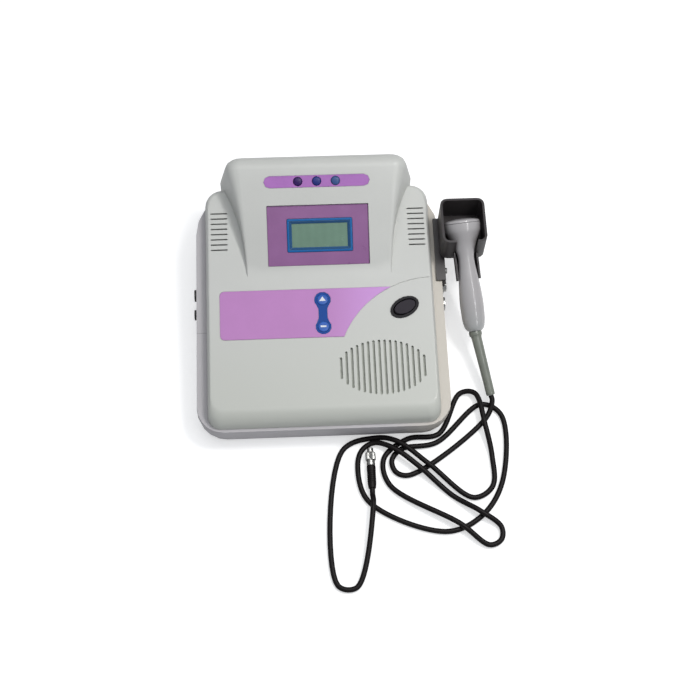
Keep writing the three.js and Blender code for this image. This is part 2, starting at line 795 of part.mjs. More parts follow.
// Rings of a tray wall that swells from its foot and draws in again at its rim:
// [height along the wall, how much of the flare is drawn in]
const flareShares = [
  [0, 0.95],
  [0.035, 0.6],
  [0.16, 0.22],
  [0.36, 0],
  [0.62, 0.2],
  [1, 0.75],
];
const innerFlareShares = flareShares.filter((_, i) => i % 2 === 0 || i === flareShares.length - 1);

function trayBody(inset, half, low, high, lowRadius, highRadius) {
  const shares = inset ? innerFlareShares : flareShares;
  const foot = baseBottom + inset;
  const rings = shares.map(([share, drawn]) => {
    const draw = baseFlare * drawn + inset;
    const outline = roundedOutline(
      draw - half,
      half - draw,
      low + draw,
      high - draw,
      lowRadius - draw / 2,
      highRadius - draw / 2,
      inset ? 2 : 5,
    );
    return ringAt(outline, foot + (baseWallHeight - inset) * share);
  });
  return solid(loft(rings));
}

function trayShape(inset) {
  return join(
    trayBody(inset, baseHalfWidth, -baseToe, baseBack, baseFrontRadius, baseBackRadius),
    trayBody(inset, hoodFootBack + bayLip, bayFront, hoodBack + bayLip, bayRadius, bayRadius),
  );
}

const standoffs = [];
for (const sx of [-1, 1]) {
  for (const sy of [-1, 1]) {
    standoffs.push([
      mainBoardX + sx * (mainBoardWidth / 2 - 2 * standoffRadius),
      mainBoardY + sy * (mainBoardDepth / 2 - 2 * standoffRadius),
    ]);
    standoffs.push([
      supplyX + sx * (supplyWidth / 2 - 2 * standoffRadius),
      supplyY + sy * (supplyDepth / 2 - 2 * standoffRadius),
    ]);
  }
}

const sockets = [
  {
    name: 'probe_socket',
    side: 1,
    y: probeSocketY,
    radius: probeSocketRadius,
    bore: probeSocketBore,
    proud: probeSocketProud,
  },
  {
    name: 'earphone_socket',
    side: 1,
    y: probeSocketY - socketPitch,
    radius: earSocketRadius,
    bore: earSocketBore,
    proud: earSocketProud,
  },
  {
    name: 'charger_socket',
    side: -1,
    y: chargeSocketY,
    radius: chargeSocketRadius,
    bore: chargeSocketBore,
    proud: leftSocketProud,
    pin: chargePin,
  },
  {
    name: 'data_socket',
    side: -1,
    y: dataSocketY,
    radius: dataSocketRadius,
    bore: dataSocketBore,
    proud: leftSocketProud,
  },
];

// Local +Z of a socket points out of the side wall
function socketPlace({ side, y }) {
  const turn = new THREE.Quaternion().setFromAxisAngle(Y, side * quarter);
  return matrixOf(new THREE.Vector3(side * baseHalfWidth, y, socketHeight), turn);
}

function socketPiece({ radius, bore, proud, pin }) {
  const floor = wall - socketLength;
  const nut = radius + socketNut;
  const middle = pin ? [[pin, floor], [pin, proud - pin], [0, proud - pin]] : [[0, floor]];
  const profile = [
    [0, -socketLength],
    [radius, -socketLength],
    [radius, gap],
    [nut, gap],
    [nut, gap + socketNut],
    [radius, gap + socketNut],
    [radius, proud],
    [bore, proud],
    [bore, floor],
    ...middle,
  ];
  return solid(turned(profile, 12));
}

function baseTray() {
  const above = seamHalf(1, -gap / 2);
  let body = trayShape(0).subtract(above);
  body = body.subtract(trayShape(wall).subtract(seamHalf(1, -rimDepth)));
  const rim = roundedOutline(
    rimInset - coverHalfWidth,
    coverHalfWidth - rimInset,
    rimInset,
    coverDepth - rimInset,
    coverNoseRadius - rimInset,
    coverShoulderRadius - rimInset,
    3,
  );
  const bayHalf = hoodFootBack - bayInset;
  const bay = roundedOutline(-bayHalf, bayHalf, bayFront, hoodBack - wall - 2 * gap, wall, wall, 2);
  const openings = [rim, bay].map((outline) => plate(outline, floorTop, baseWallHeight + overrun));
  body = cut(body, ...solids(openings));
  const sunk = floorTop - wall / 2;
  const posts = screwSpots.map(([x, y]) => disc(postRadius, sunk, postSplit - gap / 2, x, y, 10));
  const pillars = standoffs.map(([x, y]) => disc(standoffRadius, sunk, floorTop + boardGap - gap, x, y, 8));
  const ribs = [-1, 1].map((side) => {
    const x = batteryX + side * (batteryWidth / 2 + gap + wall / 2);
    return block(wall, batteryDepth, batteryHeight / 2, x, batteryY, sunk);
  });
  body = join(body, ...solids([...posts, ...pillars, ...ribs]));
  const headTop = baseBottom + screwHeadHeight + gap;
  const shafts = screwSpots.map(([x, y]) => disc(screwShaft + gap, 0, postSplit + overrun, x, y, 8));
  const heads = screwSpots.map(([x, y]) => disc(screwHead + gap, 0, headTop, x, y, 8));
  const stems = footSpots.map(([x, y]) => disc(footStem + gap, 0, floorTop + gap, x, y, 12));
  body = cut(body, ...solids([...shafts, ...heads, ...stems]));
  for (const socket of sockets) {
    const hole = disc(socket.radius + gap, -socketLength, overrun, 0, 0, 12);
    body = body.subtract(solid(hole, socketPlace(socket)));
  }
  return cut(body, ...bracketScrews.map(bracketScrewTool));
}

// Local +Z of a bracket screw points out of the right wall
function bracketScrewPlace(y) {
  const turn = new THREE.Quaternion().setFromAxisAngle(Y, quarter);
  return matrixOf(new THREE.Vector3(bracketPlate + bracketThick, y, seamAt(y) - bracketDrop / 2), turn);
}

function bracketScrewTool(y) {
  return solid(disc(screwShaft + gap, -4 * wall, overrun, 0, 0, 8), bracketScrewPlace(y));
}

// Pieces of the display, in the hood's frame
function lcdOutline(width, height, round) {
  const [x, y] = [lcdAside, windowMiddle];
  const [halfX, halfY] = [width / 2, height / 2];
  return roundedOutline(x - halfX, x + halfX, y - halfY, y + halfY, round, round, 2);
}

function displayPieces() {
  const low = -windowDepth + gap;
  const opening = lcdOutline(lcdFrameWidth + 2 * gap, lcdFrameHeight + 2 * gap, smallRound + gap);
  const overlay = plate(windowOutline(-gap), low, overlayTop, [opening]);
  const view = lcdOutline(lcdViewWidth, lcdViewHeight, smallRound);
  const frameOutline = lcdOutline(lcdFrameWidth, lcdFrameHeight, 2 * smallRound);
  const frame = plate(frameOutline, low, overlayTop + lcdFrameProud, [view]);
  const margin = 2 * lcdGlassMargin;
  const glassOutline = lcdOutline(lcdViewWidth + margin, lcdViewHeight + margin, smallRound);
  const glass = plate(glassOutline, -windowDepth - lcdGlassThick, -windowDepth);
  const boardTop = -ledgeBack - gap;
  const board = solid(plate(windowOutline(wall), boardTop - boardThick, boardTop));
  const chipLow = boardTop - boardThick - chipHeight;
  const chip = solid(block(chipSide, chipSide, chipHeight + boardThick, lcdAside, windowMiddle, chipLow));
  addSolid(hoodFrame, 'display_overlay', solid(overlay), mauve);
  addSolid(hoodFrame, 'lcd_frame', solid(frame), blue);
  addSolid(hoodFrame, 'lcd_glass', solid(glass), lcdGreen);
  addSolid(hoodFrame, 'display_board', join(board, chip), boardGreen);
}

// Domed top of a lens: [radius, rise] as shares of the lens radius and dome
const domeShares = [[1, 0], [0.8, 0.6], [0.45, 0.92], [0, 1]];

function indicatorPieces() {
  const holes = [-1, 0, 1].map((i) => circle(i * lensPitch, stripAt, lensRadius + gap, 12));
  const outline = stadium(0, stripAt, stripHalfLength, stripHeight / 2);
  const low = -stripSink + gap;
  const rim = low + stripThick;
  addSolid(hoodFrame, 'indicator_strip', solid(plate(outline, low, rim, holes)), lilac);
  const dome = domeShares.map(([radius, rise]) => [lensRadius * radius, rim + lensDome * rise]);
  const lens = geometryOf(solid(turned([[0, -lensDepth], [lensRadius, -lensDepth], ...dome], 12)));
  for (const [i, side] of ['left', 'middle', 'right'].entries()) {
    const piece = add(hoodFrame, `indicator_lens_${side}`, lens.clone(), lensBlue);
    piece.position.set((i - 1) * lensPitch, stripAt, 0);
  }
  const half = indicatorBoardHalf;
  const board = block(2 * half, stripHeight, boardThick, 0, stripAt, indicatorBoardTop - boardThick);
  addSolid(hoodFrame, 'indicator_board', solid(board), boardGreen);
}

// Pieces on the deck, in the deck's frame
function labelPieces() {
  const low = -labelSink + gap;
  const top = low + labelThick;
  const label = solid(plate(labelOutline(0), low, top));
  const backing = solid(plate(boneOutline(0), low, top));
  const bone = solid(plate(boneOutline(gap), -overrun, overrun));
  const holes = [keyUpAt, keyDownAt].map((y) => {
    return disc(keyRadius + gap, -overrun, overrun, keyAcross, y, 12);
  });
  addSolid(deckFrame, 'front_label', label.subtract(bone), lilac);
  addSolid(deckFrame, 'key_backing', cut(backing, ...solids(holes)), keyBlue);
}

// Dished top of a key: [radius, rise] as shares of the key's radius and its height over the deck
const keyTopShares = [[1, 0.55], [0.9, 0.9], [0.6, 1], [0, 0.85]];

function keyPieces() {
  const flangeTop = -wall - gap;
  const profile = [
    [0, keyFoot],
    [keyRadius + keyFlange, keyFoot],
    [keyRadius + keyFlange, flangeTop],
    [keyRadius, flangeTop],
    ...keyTopShares.map(([radius, rise]) => [keyRadius * radius, keyProud * rise]),
  ];
  for (const [way, y] of [['up', keyUpAt], ['down', keyDownAt]]) {
    const key = addSolid(deckFrame, `volume_${way}_key`, solid(turned(profile, 12)), keyBlue);
    key.position.set(keyAcross, y, 0);
  }
  const length = keyPitch + 2 * keyBoardMargin;
  const width = 2 * (keyPostX + smallPost + gap);
  const boardLow = keyBoardTop - boardThick;
  const board = solid(block(width, length, boardThick, keyAcross, keyMiddle, boardLow));
  const tacts = [keyUpAt, keyDownAt].flatMap((y) => [
    block(tactSide, tactSide, tactHeight / 2 + boardThick, keyAcross, y, boardLow),
    disc(tactSide / 4, boardLow, tactTop, keyAcross, y, 10),
  ]);
  addSolid(deckFrame, 'key_board', join(board, ...solids(tacts)), boardGreen);
}

// The switch sits in the shallow step, so its frame is lowered by the step's depth there
function switchPieces() {
  const frame = new THREE.Group();
  frame.position.set(switchX, switchY, -stepAt(switchY));
  frame.rotation.z = switchTurn;
  deckFrame.add(frame);
  const oval = (grow) => ellipse(0, 0, rockerLong + grow, rockerShort + grow, 0);
  const outer = rockerRun + bezelWide;
  const shell = join(
    solid(plate(oval(outer), -switchDepth, bezelProud)),
    solid(plate(oval(outer + bezelLip), gap, bezelProud)),
  );
  const pinHalf = rockerShort + rockerRun + bezelWide / 2;
  const pin = (grow) => {
    const radius = pivotRadius + grow;
    const bar = new THREE.CylinderGeometry(radius, radius, 2 * (pinHalf + grow), 10);
    return solid(bar.translate(0, 0, -pivotDepth));
  };
  const well = solid(plate(oval(rockerRun), -switchDepth + bezelWide, overrun));
  addSolid(frame, 'power_switch_bezel', cut(shell, well, pin(gap)), black);
  const foot = -pivotDepth - rockerDepth;
  const side = outlineOf([
    [-rockerLong, foot],
    [rockerLong, foot],
    [rockerLong, rockerProud],
    [0, rockerProud - rockerDish],
    [-rockerLong, rockerProud],
  ]);
  const across = plate(side, 0, 2 * rockerLong).rotateX(quarter).translate(0, rockerLong, 0);
  const paddle = solid(plate(oval(0), -overrun, overrun)).intersect(solid(across));
  const tilt = new THREE.Matrix4()
    .makeTranslation(0, 0, -pivotDepth)
    .multiply(new THREE.Matrix4().makeRotationY(rockerTilt))
    .multiply(new THREE.Matrix4().makeTranslation(0, 0, pivotDepth));
  add(frame, 'power_rocker', geometryOf(join(paddle, pin(0))).applyMatrix4(tilt), black);
}

function speakerPieces() {
  const top = -wall - gap;
  const bottom = top - speakerDepth;
  const ledge = speakerRadius - speakerRim;
  const rimLow = top - 2 * coneThick;
  const throat = bottom + 2 * coneThick;
  const frame = turned([
    [0, bottom - magnetHeight],
    [magnetRadius, bottom - magnetHeight],
    [magnetRadius, bottom],
    [ledge, rimLow],
    [speakerRadius, rimLow],
    [speakerRadius, top],
    [ledge, top],
    [ledge - coneThick, rimLow],
    [magnetRadius - 2 * coneThick, throat],
    [0, throat],
  ]);
  const floor = throat + gap;
  const rim = ledge - coneThick - 2 * gap;
  const neck = magnetRadius - 3 * coneThick - gap;
  const cap = neck / 2;
  const cone = turned([
    [0, floor],
    [neck, floor],
    [rim, rimLow + gap],
    [rim, top - coneThick],
    [neck, floor + 1.5 * coneThick],
    [cap, floor + 3.5 * coneThick],
    [0, floor + 4 * coneThick],
  ]);
  addSolid(deckFrame, 'speaker_frame', solid(frame), metal).position.set(grilleX, grilleY, 0);
  addSolid(deckFrame, 'speaker_cone', solid(cone), paper).position.set(grilleX, grilleY, 0);
}

function insidePieces() {
  const low = floorTop + boardGap;
  const top = low + boardThick;
  const chips = chipSpotShares.map(([x, y]) => {
    const [chipX, chipY] = [mainBoardX + x * mainBoardWidth, mainBoardY + y * mainBoardDepth];
    return block(chipSide, chipSide, boardThick + chipHeight, chipX, chipY, low);
  });
  const board = block(mainBoardWidth, mainBoardDepth, boardThick, mainBoardX, mainBoardY, low);
  addSolid(console_, 'main_board', join(solid(board), ...solids(chips)), boardGreen);
  const shieldX = mainBoardX + (mainBoardWidth - shieldWidth) / 2 - chipSide;
  const shieldLow = top + gap;
  const can = block(shieldWidth, shieldDepth, shieldHeight, shieldX, mainBoardY, shieldLow);
  const inside = [shieldWidth - 2 * shieldSheet, shieldDepth - 2 * shieldSheet, shieldHeight];
  const hollow = block(...inside, shieldX, mainBoardY, shieldLow - shieldSheet);
  addSolid(console_, 'ultrasound_shield', cut(solid(can), solid(hollow)), metal);
  const cellRadius = batteryHeight / 2;
  const cellCount = Math.max(1, Math.floor(batteryWidth / batteryHeight));
  const batteryLow = floorTop + gap;
  const cells = Array.from({ length: cellCount }, (_, i) => {
    const x = batteryX + (i - (cellCount - 1) / 2) * batteryHeight;
    const cell = new THREE.CylinderGeometry(cellRadius, cellRadius, batteryDepth, 14);
    return cell.translate(x, batteryY, batteryLow + cellRadius);
  });
  const pad = block(batteryWidth, batteryDepth, cellRadius, batteryX, batteryY, batteryLow);
  addSolid(console_, 'battery_pack', join(solid(pad), ...solids(cells)), wrap);
  const supply = block(supplyWidth, supplyDepth, boardThick, supplyX, supplyY, low);
  const [coilX, coilY, coilZ] = coilShares;
  const core = [transformerSide, transformerSide, transformerHeight];
  const coil = [transformerSide * coilX, transformerSide * coilY, transformerHeight * coilZ];
  const windings = [core, coil].map((size) => solid(block(...size, supplyX, supplyY, top - gap)));
  addSolid(console_, 'power_supply', join(solid(supply), ...windings), boardGreen);
}

function socketPieces() {
  for (const socket of sockets) {
    const piece = addSolid(console_, socket.name, socketPiece(socket), socket.side > 0 ? metal : black);
    piece.applyMatrix4(socketPlace(socket));
  }
}

function footPieces() {
  const profile = [
    [0, 0],
    [footRadius - smallRound, 0],
    [footRadius, smallRound],
    [footRadius, baseBottom - gap],
    [footStem, baseBottom - gap],
    [footStem, floorTop - gap],
    [0, floorTop - gap],
  ];
  footSpots.forEach(([x, y], i) => {
    addSolid(console_, `rubber_foot_${i + 1}`, solid(turned(profile, 12)), rubber).position.set(x, y, 0);
  });
}

function screwShape(length) {
  return turned(
    [
      [0, 0],
      [screwHead, 0],
      [screwHead, screwHeadHeight],
      [screwShaft, screwHeadHeight],
      [screwShaft, length],
      [0, length],
    ],
    8,
  );
}

function screwPieces() {
  screwSpots.forEach(([x, y], i) => {
    const screw = addSolid(console_, `case_screw_${i + 1}`, solid(screwShape(screwLength)), metal);
    screw.position.set(x, y, baseBottom);
  });
  const flip = new THREE.Matrix4().makeRotationX(2 * quarter);
  bracketScrews.forEach((y, i) => {
    const shape = solid(screwShape(bracketScrewLength), flip);
    const screw = addSolid(console_, `bracket_screw_${i + 1}`, shape, metal);
    screw.applyMatrix4(bracketScrewPlace(y));
    screw.translateZ(gap + screwHeadHeight);
  });
}

// The bracket hooks over the tray's ledge and carries the holder on a shelf with two gussets
function bracketPiece() {
  const outer = bracketPlate + bracketThick;
  const inner = bracketPlate - bracketHook;
  const start = seamAt(bracketFront);
  const hook = start + 2 * gap;
  const top = hook + bracketFlange;
  const section = outlineOf([
    [bracketPlate, start - bracketDrop],
    [outer, start - bracketDrop],
    [outer, top],
    [inner, top],
    [inner, hook],
    [bracketPlate, hook],
  ]);
  const slide = new THREE.Matrix4().set(1, 0, 0, 0, 0, 0, 1, bracketFront, 0, 1, deckSlope, 0, 0, 0, 0, 1);
  const rail = outward(plate(section, 0, bracketBack - bracketFront).applyMatrix4(slide));
  const shelfTop = holderBottom - gap;
  const depth = shelfBack - shelfFront;
  const middle = (shelfBack + shelfFront) / 2;
  const low = seamAt(shelfFront) - bracketDrop / 2;
  const web = block(bracketThick, depth, shelfTop - low, bracketPlate + bracketThick / 2, middle, low);
  const reach = shelfReach + bracketThick;
  const shelf = block(reach, depth, bracketThick, bracketPlate + reach / 2, middle, shelfTop - bracketThick);
  const corner = shelfTop - bracketThick / 2;
  const gusset = outlineOf([
    [bracketPlate, corner],
    [bracketPlate + shelfReach * gussetShare, corner],
    [bracketPlate, low],
  ]);
  const gussets = [shelfFront + bracketThick, shelfBack - bracketThick].map((y) =>
    plate(gusset, 0, bracketThick).rotateX(quarter).translate(0, y + bracketThick / 2, 0),
  );
  const body = join(...solids([rail, web, shelf, ...gussets]));
  return cut(body, ...bracketScrews.map(bracketScrewTool));
}

// Probe frame: +Z runs from the middle of its face to its cord end, +Y is its upper side
const probeAxis = new THREE.Vector3(
  Math.sin(probeYaw) * Math.cos(probePitch),
  -Math.cos(probeYaw) * Math.cos(probePitch),
  -Math.sin(probePitch),
);
const probeFace = new THREE.Vector3(
  (holderLeft + holderRight) / 2 - probeAside,
  holderBack - probeBehind,
  holderRim - probeSunk,
);
const probeEnd = probeFace.clone().addScaledVector(probeAxis, probeLength);
const probeMatrix = matrixOf(probeFace, new THREE.Quaternion().setFromUnitVectors(Z, probeAxis));
const probeFrame = new THREE.Group();
probeFrame.applyMatrix4(probeMatrix);
console_.add(probeFrame);

function holderPiece() {
  const outline = (inset) =>
    roundedOutline(
      holderLeft + inset,
      holderRight - inset,
      holderFront + inset,
      holderBack - inset,
      holderRadius - inset,
      holderRadius - inset,
      3,
    );
  const crossing = probeFace.clone().addScaledVector(probeAxis, (holderFront - probeFace.y) / probeAxis.y);
  const chuteOuter = slotHalf + chuteWall;
  const reach = 2 * chuteOuter;
  const lid = block(2 * reach, reach, 2 * probeLength, 0, reach / 2 + chuteWall, -probeLength / 2);
  const chute = cut(solid(disc(chuteOuter, chuteStart, chuteEnd, 0, 0, 18)), solid(lid));
  const bore = disc(slotHalf, chuteStart - wall, chuteEnd + overrun, 0, 0, 18);
  const slotHeight = overrun + holderRim - crossing.z;
  const slot = block(2 * slotHalf, 2 * holderRadius, slotHeight, crossing.x, holderFront, crossing.z);
  return cut(
    join(solid(plate(outline(0), holderBottom, holderRim)), solid(geometryOf(chute), probeMatrix)),
    solid(plate(outline(holderWall), holderBottom + holderWall, holderRim + overrun)),
    solid(slot),
    solid(bore, probeMatrix),
  );
}

function probeProfile(inset, low, high) {
  const points = [];
  const stretch = (shares, narrow, wide, from, to) => {
    for (const [radius, height] of shares) {
      points.push([narrow + (wide - narrow) * radius - inset, from + (to - from) * height]);
    }
  };
  stretch(headShares, probeNeckRadius, probeHeadRadius, low, probeNeckAt);
  stretch(gripShares, probeNeckRadius, probeGripRadius, probeNeckAt, probeGripAt);
  stretch(tailShares, probeEndRadius, probeGripRadius, probeGripAt, high);
  return [[0, low], ...points, [0, high]];
}

// Dome of the probe's face: [radius, depth] as shares of its radius and dome
const faceShares = [[0, -1], [0.55, -0.8], [0.9, 0]];

function probePieces() {
  const start = faceThick + gap;
  const outer = solid(turned(probeProfile(0, start, probeLength), 18));
  const inner = solid(turned(probeProfile(probeWall, start - wall, probeLength - probeWall), 12));
  const shell = outer.subtract(inner);
  const reach = 2 * probeLength;
  for (const [name, side] of [['upper', 1], ['lower', -1]]) {
    const away = block(reach, reach, 2 * reach, 0, side * (gap / 2 - reach / 2), -reach);
    addSolid(probeFrame, `probe_shell_${name}`, shell.subtract(solid(away)), probeGrey);
  }
  const edge = probeHeadRadius - gap;
  const dome = faceShares.map(([radius, depth]) => [edge * radius, faceDome * depth]);
  const face = turned([...dome, [edge, faceThick / 2], [edge, faceThick], [0, faceThick]], 18);
  addSolid(probeFrame, 'probe_face', solid(face), probeGrey);
  addSolid(probeFrame, 'crystal_disc', solid(disc(crystalRadius, start, start + crystalThick)), metal);
  const board = block(probeBoardWidth, boardThick, probeBoardLength, 0, 0, probeNeckAt + wall);
  addSolid(probeFrame, 'probe_board', solid(board), boardGreen);
}

// The strain relief leaves the grip's end and drops towards the table
const reliefHeading = probeYaw + reliefSwing;
const reliefDrop = Math.asin((probeEnd.z - cordExitHeight) / reliefLength);
const reliefAxis = new THREE.Vector3(
  Math.sin(reliefHeading) * Math.cos(reliefDrop),
  -Math.cos(reliefHeading) * Math.cos(reliefDrop),
  -Math.sin(reliefDrop),
);
const reliefBend = probeAxis.angleTo(reliefAxis);
const reliefFrom = probeEnd.clone().addScaledVector(probeAxis, gap + reliefCollar * Math.sin(reliefBend));
const reliefEnd = reliefFrom.clone().addScaledVector(reliefAxis, reliefLength);

function reliefPiece() {
  const profile = [
    [0, 0],
    [reliefCollar, 0],
    [reliefCollar, collarLength],
    [reliefStart, collarLength + smallRound],
    [reliefTip, reliefLength],
    [0, reliefLength],
  ];
  return solid(turned(profile));
}

displayPieces();
indicatorPieces();
labelPieces();
keyPieces();
switchPieces();
speakerPieces();
insidePieces();
socketPieces();
footPieces();
screwPieces();
addSolid(console_, 'top_cover', topCover(), bodyPlastic);
addSolid(console_, 'base_tray', baseTray(), basePlastic);
addSolid(console_, 'holder_bracket', bracketPiece(), black);
addSolid(console_, 'probe_holder', holderPiece(), black);
probePieces();
const relief = addSolid(console_, 'probe_strain_relief', reliefPiece(), reliefGrey);
relief.applyMatrix4(matrixOf(reliefFrom, new THREE.Quaternion().setFromUnitVectors(Z, reliefAxis)));

// The cord and its plug lie round the tray's right front corner
const cornerDraw = baseFrontRadius * (1 - Math.SQRT1_2);
const corner = new THREE.Vector3(baseHalfWidth - cornerDraw, cornerDraw - baseToe, 0);

// Plug on the cord's other end, lying on the table in front of the console and pointing back at it
const plugTip = corner.clone().add(new THREE.Vector3(-plugAside, -plugAhead, plugRing + gap));
const plugFrame = new THREE.Group();
plugFrame.position.copy(plugTip);
plugFrame.rotation.x = quarter;
console_.add(plugFrame);

function plugPieces() {
  const ringStart = plugNoseLength + plugShoulder;
  const ringEnd = ringStart + plugRingLength;
  const body = turned(
    [
      [0, 0],
      [plugNose - smallRound, 0],
      [plugNose, smallRound],
      [plugNose, plugNoseLength],
      [plugCore, plugNoseLength],
      [plugCore, ringEnd + gap],
      [plugRear, ringEnd + gap],
      [plugRear, plugBodyLength],
      [0, plugBodyLength],
    ],
    12,
  );
  addSolid(plugFrame, 'plug_body', solid(body), metal);
  const knurls = 2 * ringKnurls;
  const star = Array.from({ length: knurls }, (_, i) => {
    const radius = i % 2 ? plugRing : plugRing - knurlDepth;
    const angle = (4 * quarter * i) / knurls;
    return new THREE.Vector2(radius * Math.cos(angle), radius * Math.sin(angle));
  });
  const ring = plate(star, ringStart, ringEnd, [circle(0, 0, plugCore + gap, 12)]);
  addSolid(plugFrame, 'plug_ring', solid(ring), metal);
  const bootStart = plugBodyLength + gap;
  const boot = turned(
    [
      [0, bootStart],
      [bootWide, bootStart],
      [bootWide, plugLength * bootTaperShare],
      [bootNarrow, plugLength],
      [0, plugLength],
    ],
    12,
  );
  addSolid(plugFrame, 'plug_boot', solid(boot), cordBlack);
}

// The cord's loose way over the table from the probe to the plug, from the tray's front corner
const cordRoute = [
  [45.1, 9.4], [-35.9, -47.7], [-49.3, -44.2], [-53, -32.1], [-43, -20.2],
  [-7.1, -14.4], [41.2, 25.1], [60.9, 13.4], [56.2, -57.2], [32, -92.9],
  [-4.7, -107.1], [-78.4, -73.4], [-87.3, -35.8], [-81.7, -19.2], [-69.3, -13.1],
  [-50.9, -20.9], [-26.9, -40.7], [5.1, -70.5], [30.3, -89.2], [50.4, -104.5],
  [49.5, -117], [37.5, -122.4], [9.9, -101.4], [-56.6, -57], [-60.7, -29.3],
  [-35.9, -9.5], [-4, -5.3], [20.8, 37.7], [35.3, 36.1], [42.9, -0.3],
  [48, -31.6], [45.6, -62.6], [25.8, -73.4], [-17.1, -38.1], [-47.4, -13],
  [-69, -7.3], [-102, -19.6], [-112.3, -156.7], [-93.9, -159], [-74.1, -77.8],
];

// Heights of those points in cord radii: low humps where it lies across itself
const riseShares = [
  1.74, 1.04, 1.04, 1.26, 1.19, 1.07, 1.04, 1.04, 1.04, 1.04,
  1, 1.04, 1.11, 1.15, 1.89, 3.56, 3.48, 1.07, 3.37, 1.41,
  1.11, 1.37, 3.33, 1, 1.04, 1.04, 1.19, 1.26, 2.85, 3.89,
  1.07, 1.04, 1.04, 3.26, 3.19, 1.19, 1.04, 0.96, 1.04, 3.3,
];

// A path that never dips below the height at which the cord rests on the table. It is followed by
// its points, not by its length, so that the tube gets its rings where the cord bends.
class RestingPath extends THREE.Curve {
  constructor(path, lowest) {
    super();
    this.path = path;
    this.lowest = lowest;
  }

  getUtoTmapping(u) {
    return u;
  }

  getPoint(t, target = new THREE.Vector3()) {
    this.path.getPoint(t, target);
    target.z = Math.max(target.z, this.lowest);
    return target;
  }
}

function cordPiece() {
  const stub = 2 * cordRadius;
  const tail = plugTip.clone().addScaledVector(Y, -plugLength - gap);
  const points = [
    reliefEnd.clone().addScaledVector(reliefAxis, gap),
    reliefEnd.clone().addScaledVector(reliefAxis, gap + stub),
    ...cordRoute.map(([x, y], i) => new THREE.Vector3(x, y, cordRadius * riseShares[i]).add(corner)),
    tail.clone().addScaledVector(Y, -stub),
    tail,
  ];
  const path = new THREE.CatmullRomCurve3(points, false, 'centripetal');
  const extrudePath = new RestingPath(path, cordRadius + cordRest);
  const section = new THREE.Shape(circle(0, 0, cordRadius, cordSides));
  const steps = cordStepsPerPoint * (points.length - 1);
  return solid(outward(new THREE.ExtrudeGeometry(section, { extrudePath, steps, bevelEnabled: false })));
}

plugPieces();
addSolid(console_, 'probe_cord', cordPiece(), cordBlack);

// The origin goes under the middle of everything but the cord and its plug
const cordPieces = ['probe_cord', 'plug_body', 'plug_ring', 'plug_boot'];
console_.updateMatrixWorld(true);
const extent = new THREE.Box3();
console_.traverse((piece) => {
  if (piece.isMesh && !cordPieces.includes(piece.name)) extent.expandByObject(piece, true);
});
const centre = extent.getCenter(new THREE.Vector3());
console_.position.set(-centre.x, -centre.y, -extent.min.z);

export default root;
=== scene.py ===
"""Looks of the fetal doppler monitor: camera, light, materials and fine pieces round the CAD frame.
Lengths are in millimetres in the console's frame (x = 0 on its centre plane, y = 0 at the cover's nose,
z = 0 on the table) until a matrix takes them to the row frame in metres."""
import math

import bmesh
import bpy
from mathutils import Matrix, Vector


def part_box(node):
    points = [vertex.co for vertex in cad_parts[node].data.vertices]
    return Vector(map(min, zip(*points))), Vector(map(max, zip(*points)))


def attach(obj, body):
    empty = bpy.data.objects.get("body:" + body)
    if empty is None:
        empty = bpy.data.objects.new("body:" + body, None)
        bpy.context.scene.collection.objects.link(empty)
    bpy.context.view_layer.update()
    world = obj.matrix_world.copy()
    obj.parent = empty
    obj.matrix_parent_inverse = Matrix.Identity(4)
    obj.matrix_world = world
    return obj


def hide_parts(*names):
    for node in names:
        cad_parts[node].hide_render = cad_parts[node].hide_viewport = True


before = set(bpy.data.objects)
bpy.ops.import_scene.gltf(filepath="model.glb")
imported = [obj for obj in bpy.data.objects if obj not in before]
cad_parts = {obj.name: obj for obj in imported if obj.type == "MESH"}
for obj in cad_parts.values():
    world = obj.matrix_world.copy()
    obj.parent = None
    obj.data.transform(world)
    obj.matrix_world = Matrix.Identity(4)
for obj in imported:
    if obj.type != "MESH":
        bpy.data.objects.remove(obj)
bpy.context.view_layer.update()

# Sizes that the scene shares with the part
millimetre = 0.001
gap = 0.3  # between pieces that touch
deck_front_height = 51
deck_back_height = 74
cover_depth = 250.998
base_toe = 4  # the tray stands this far out past the cover's nose
hood_front = 150.6
hood_tilt = math.radians(25.3)
holder_rim = 92.014
probe_x = 146
probe_y = 198
probe_sunk = 9  # middle of its face under the holder's rim
probe_yaw = math.radians(6.2)
probe_pitch = math.radians(27)
probe_length = 112.4
probe_wall = 2
head_radius = 18.4
neck_radius = 8.2
grip_radius = 12
tail_radius = 7.2
neck_at = 37
grip_at = 88
face_thick = 2.2
relief_length = 66
relief_swing = math.radians(5.5)
relief_collar = 6.6
cord_exit_height = 12.7
plug_x = 44.4
plug_tip = -14.9
plug_height = 5.4
plug_length = 42.2

# Frames of the console, its deck and its hood
tray_low, tray_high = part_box("base_tray")
nose_at = tray_low.y + base_toe * millimetre
console = Matrix.Translation(((tray_low.x + tray_high.x) / 2, nose_at, 0)) @ Matrix.Scale(millimetre, 4)
deck_slope = (deck_back_height - deck_front_height) / cover_depth
deck_tilt = math.atan(deck_slope)
deck = console @ Matrix.Translation((0, 0, deck_front_height)) @ Matrix.Rotation(deck_tilt, 4, "X")
hood_foot = (0, hood_front, deck_front_height + deck_slope * hood_front)
hood = console @ Matrix.Translation(hood_foot) @ Matrix.Rotation(hood_tilt, 4, "X")


def heading(turn, fall):
    """A direction that runs forward, turned to the right and falling."""
    return Vector((math.sin(turn) * math.cos(fall), -math.cos(turn) * math.cos(fall), -math.sin(fall)))


def frame_along(place, axis):
    """A frame at a place, with its Z along an axis."""
    turn = Vector((0, 0, 1)).rotation_difference(axis).to_matrix().to_4x4()
    return console @ Matrix.Translation(place) @ turn


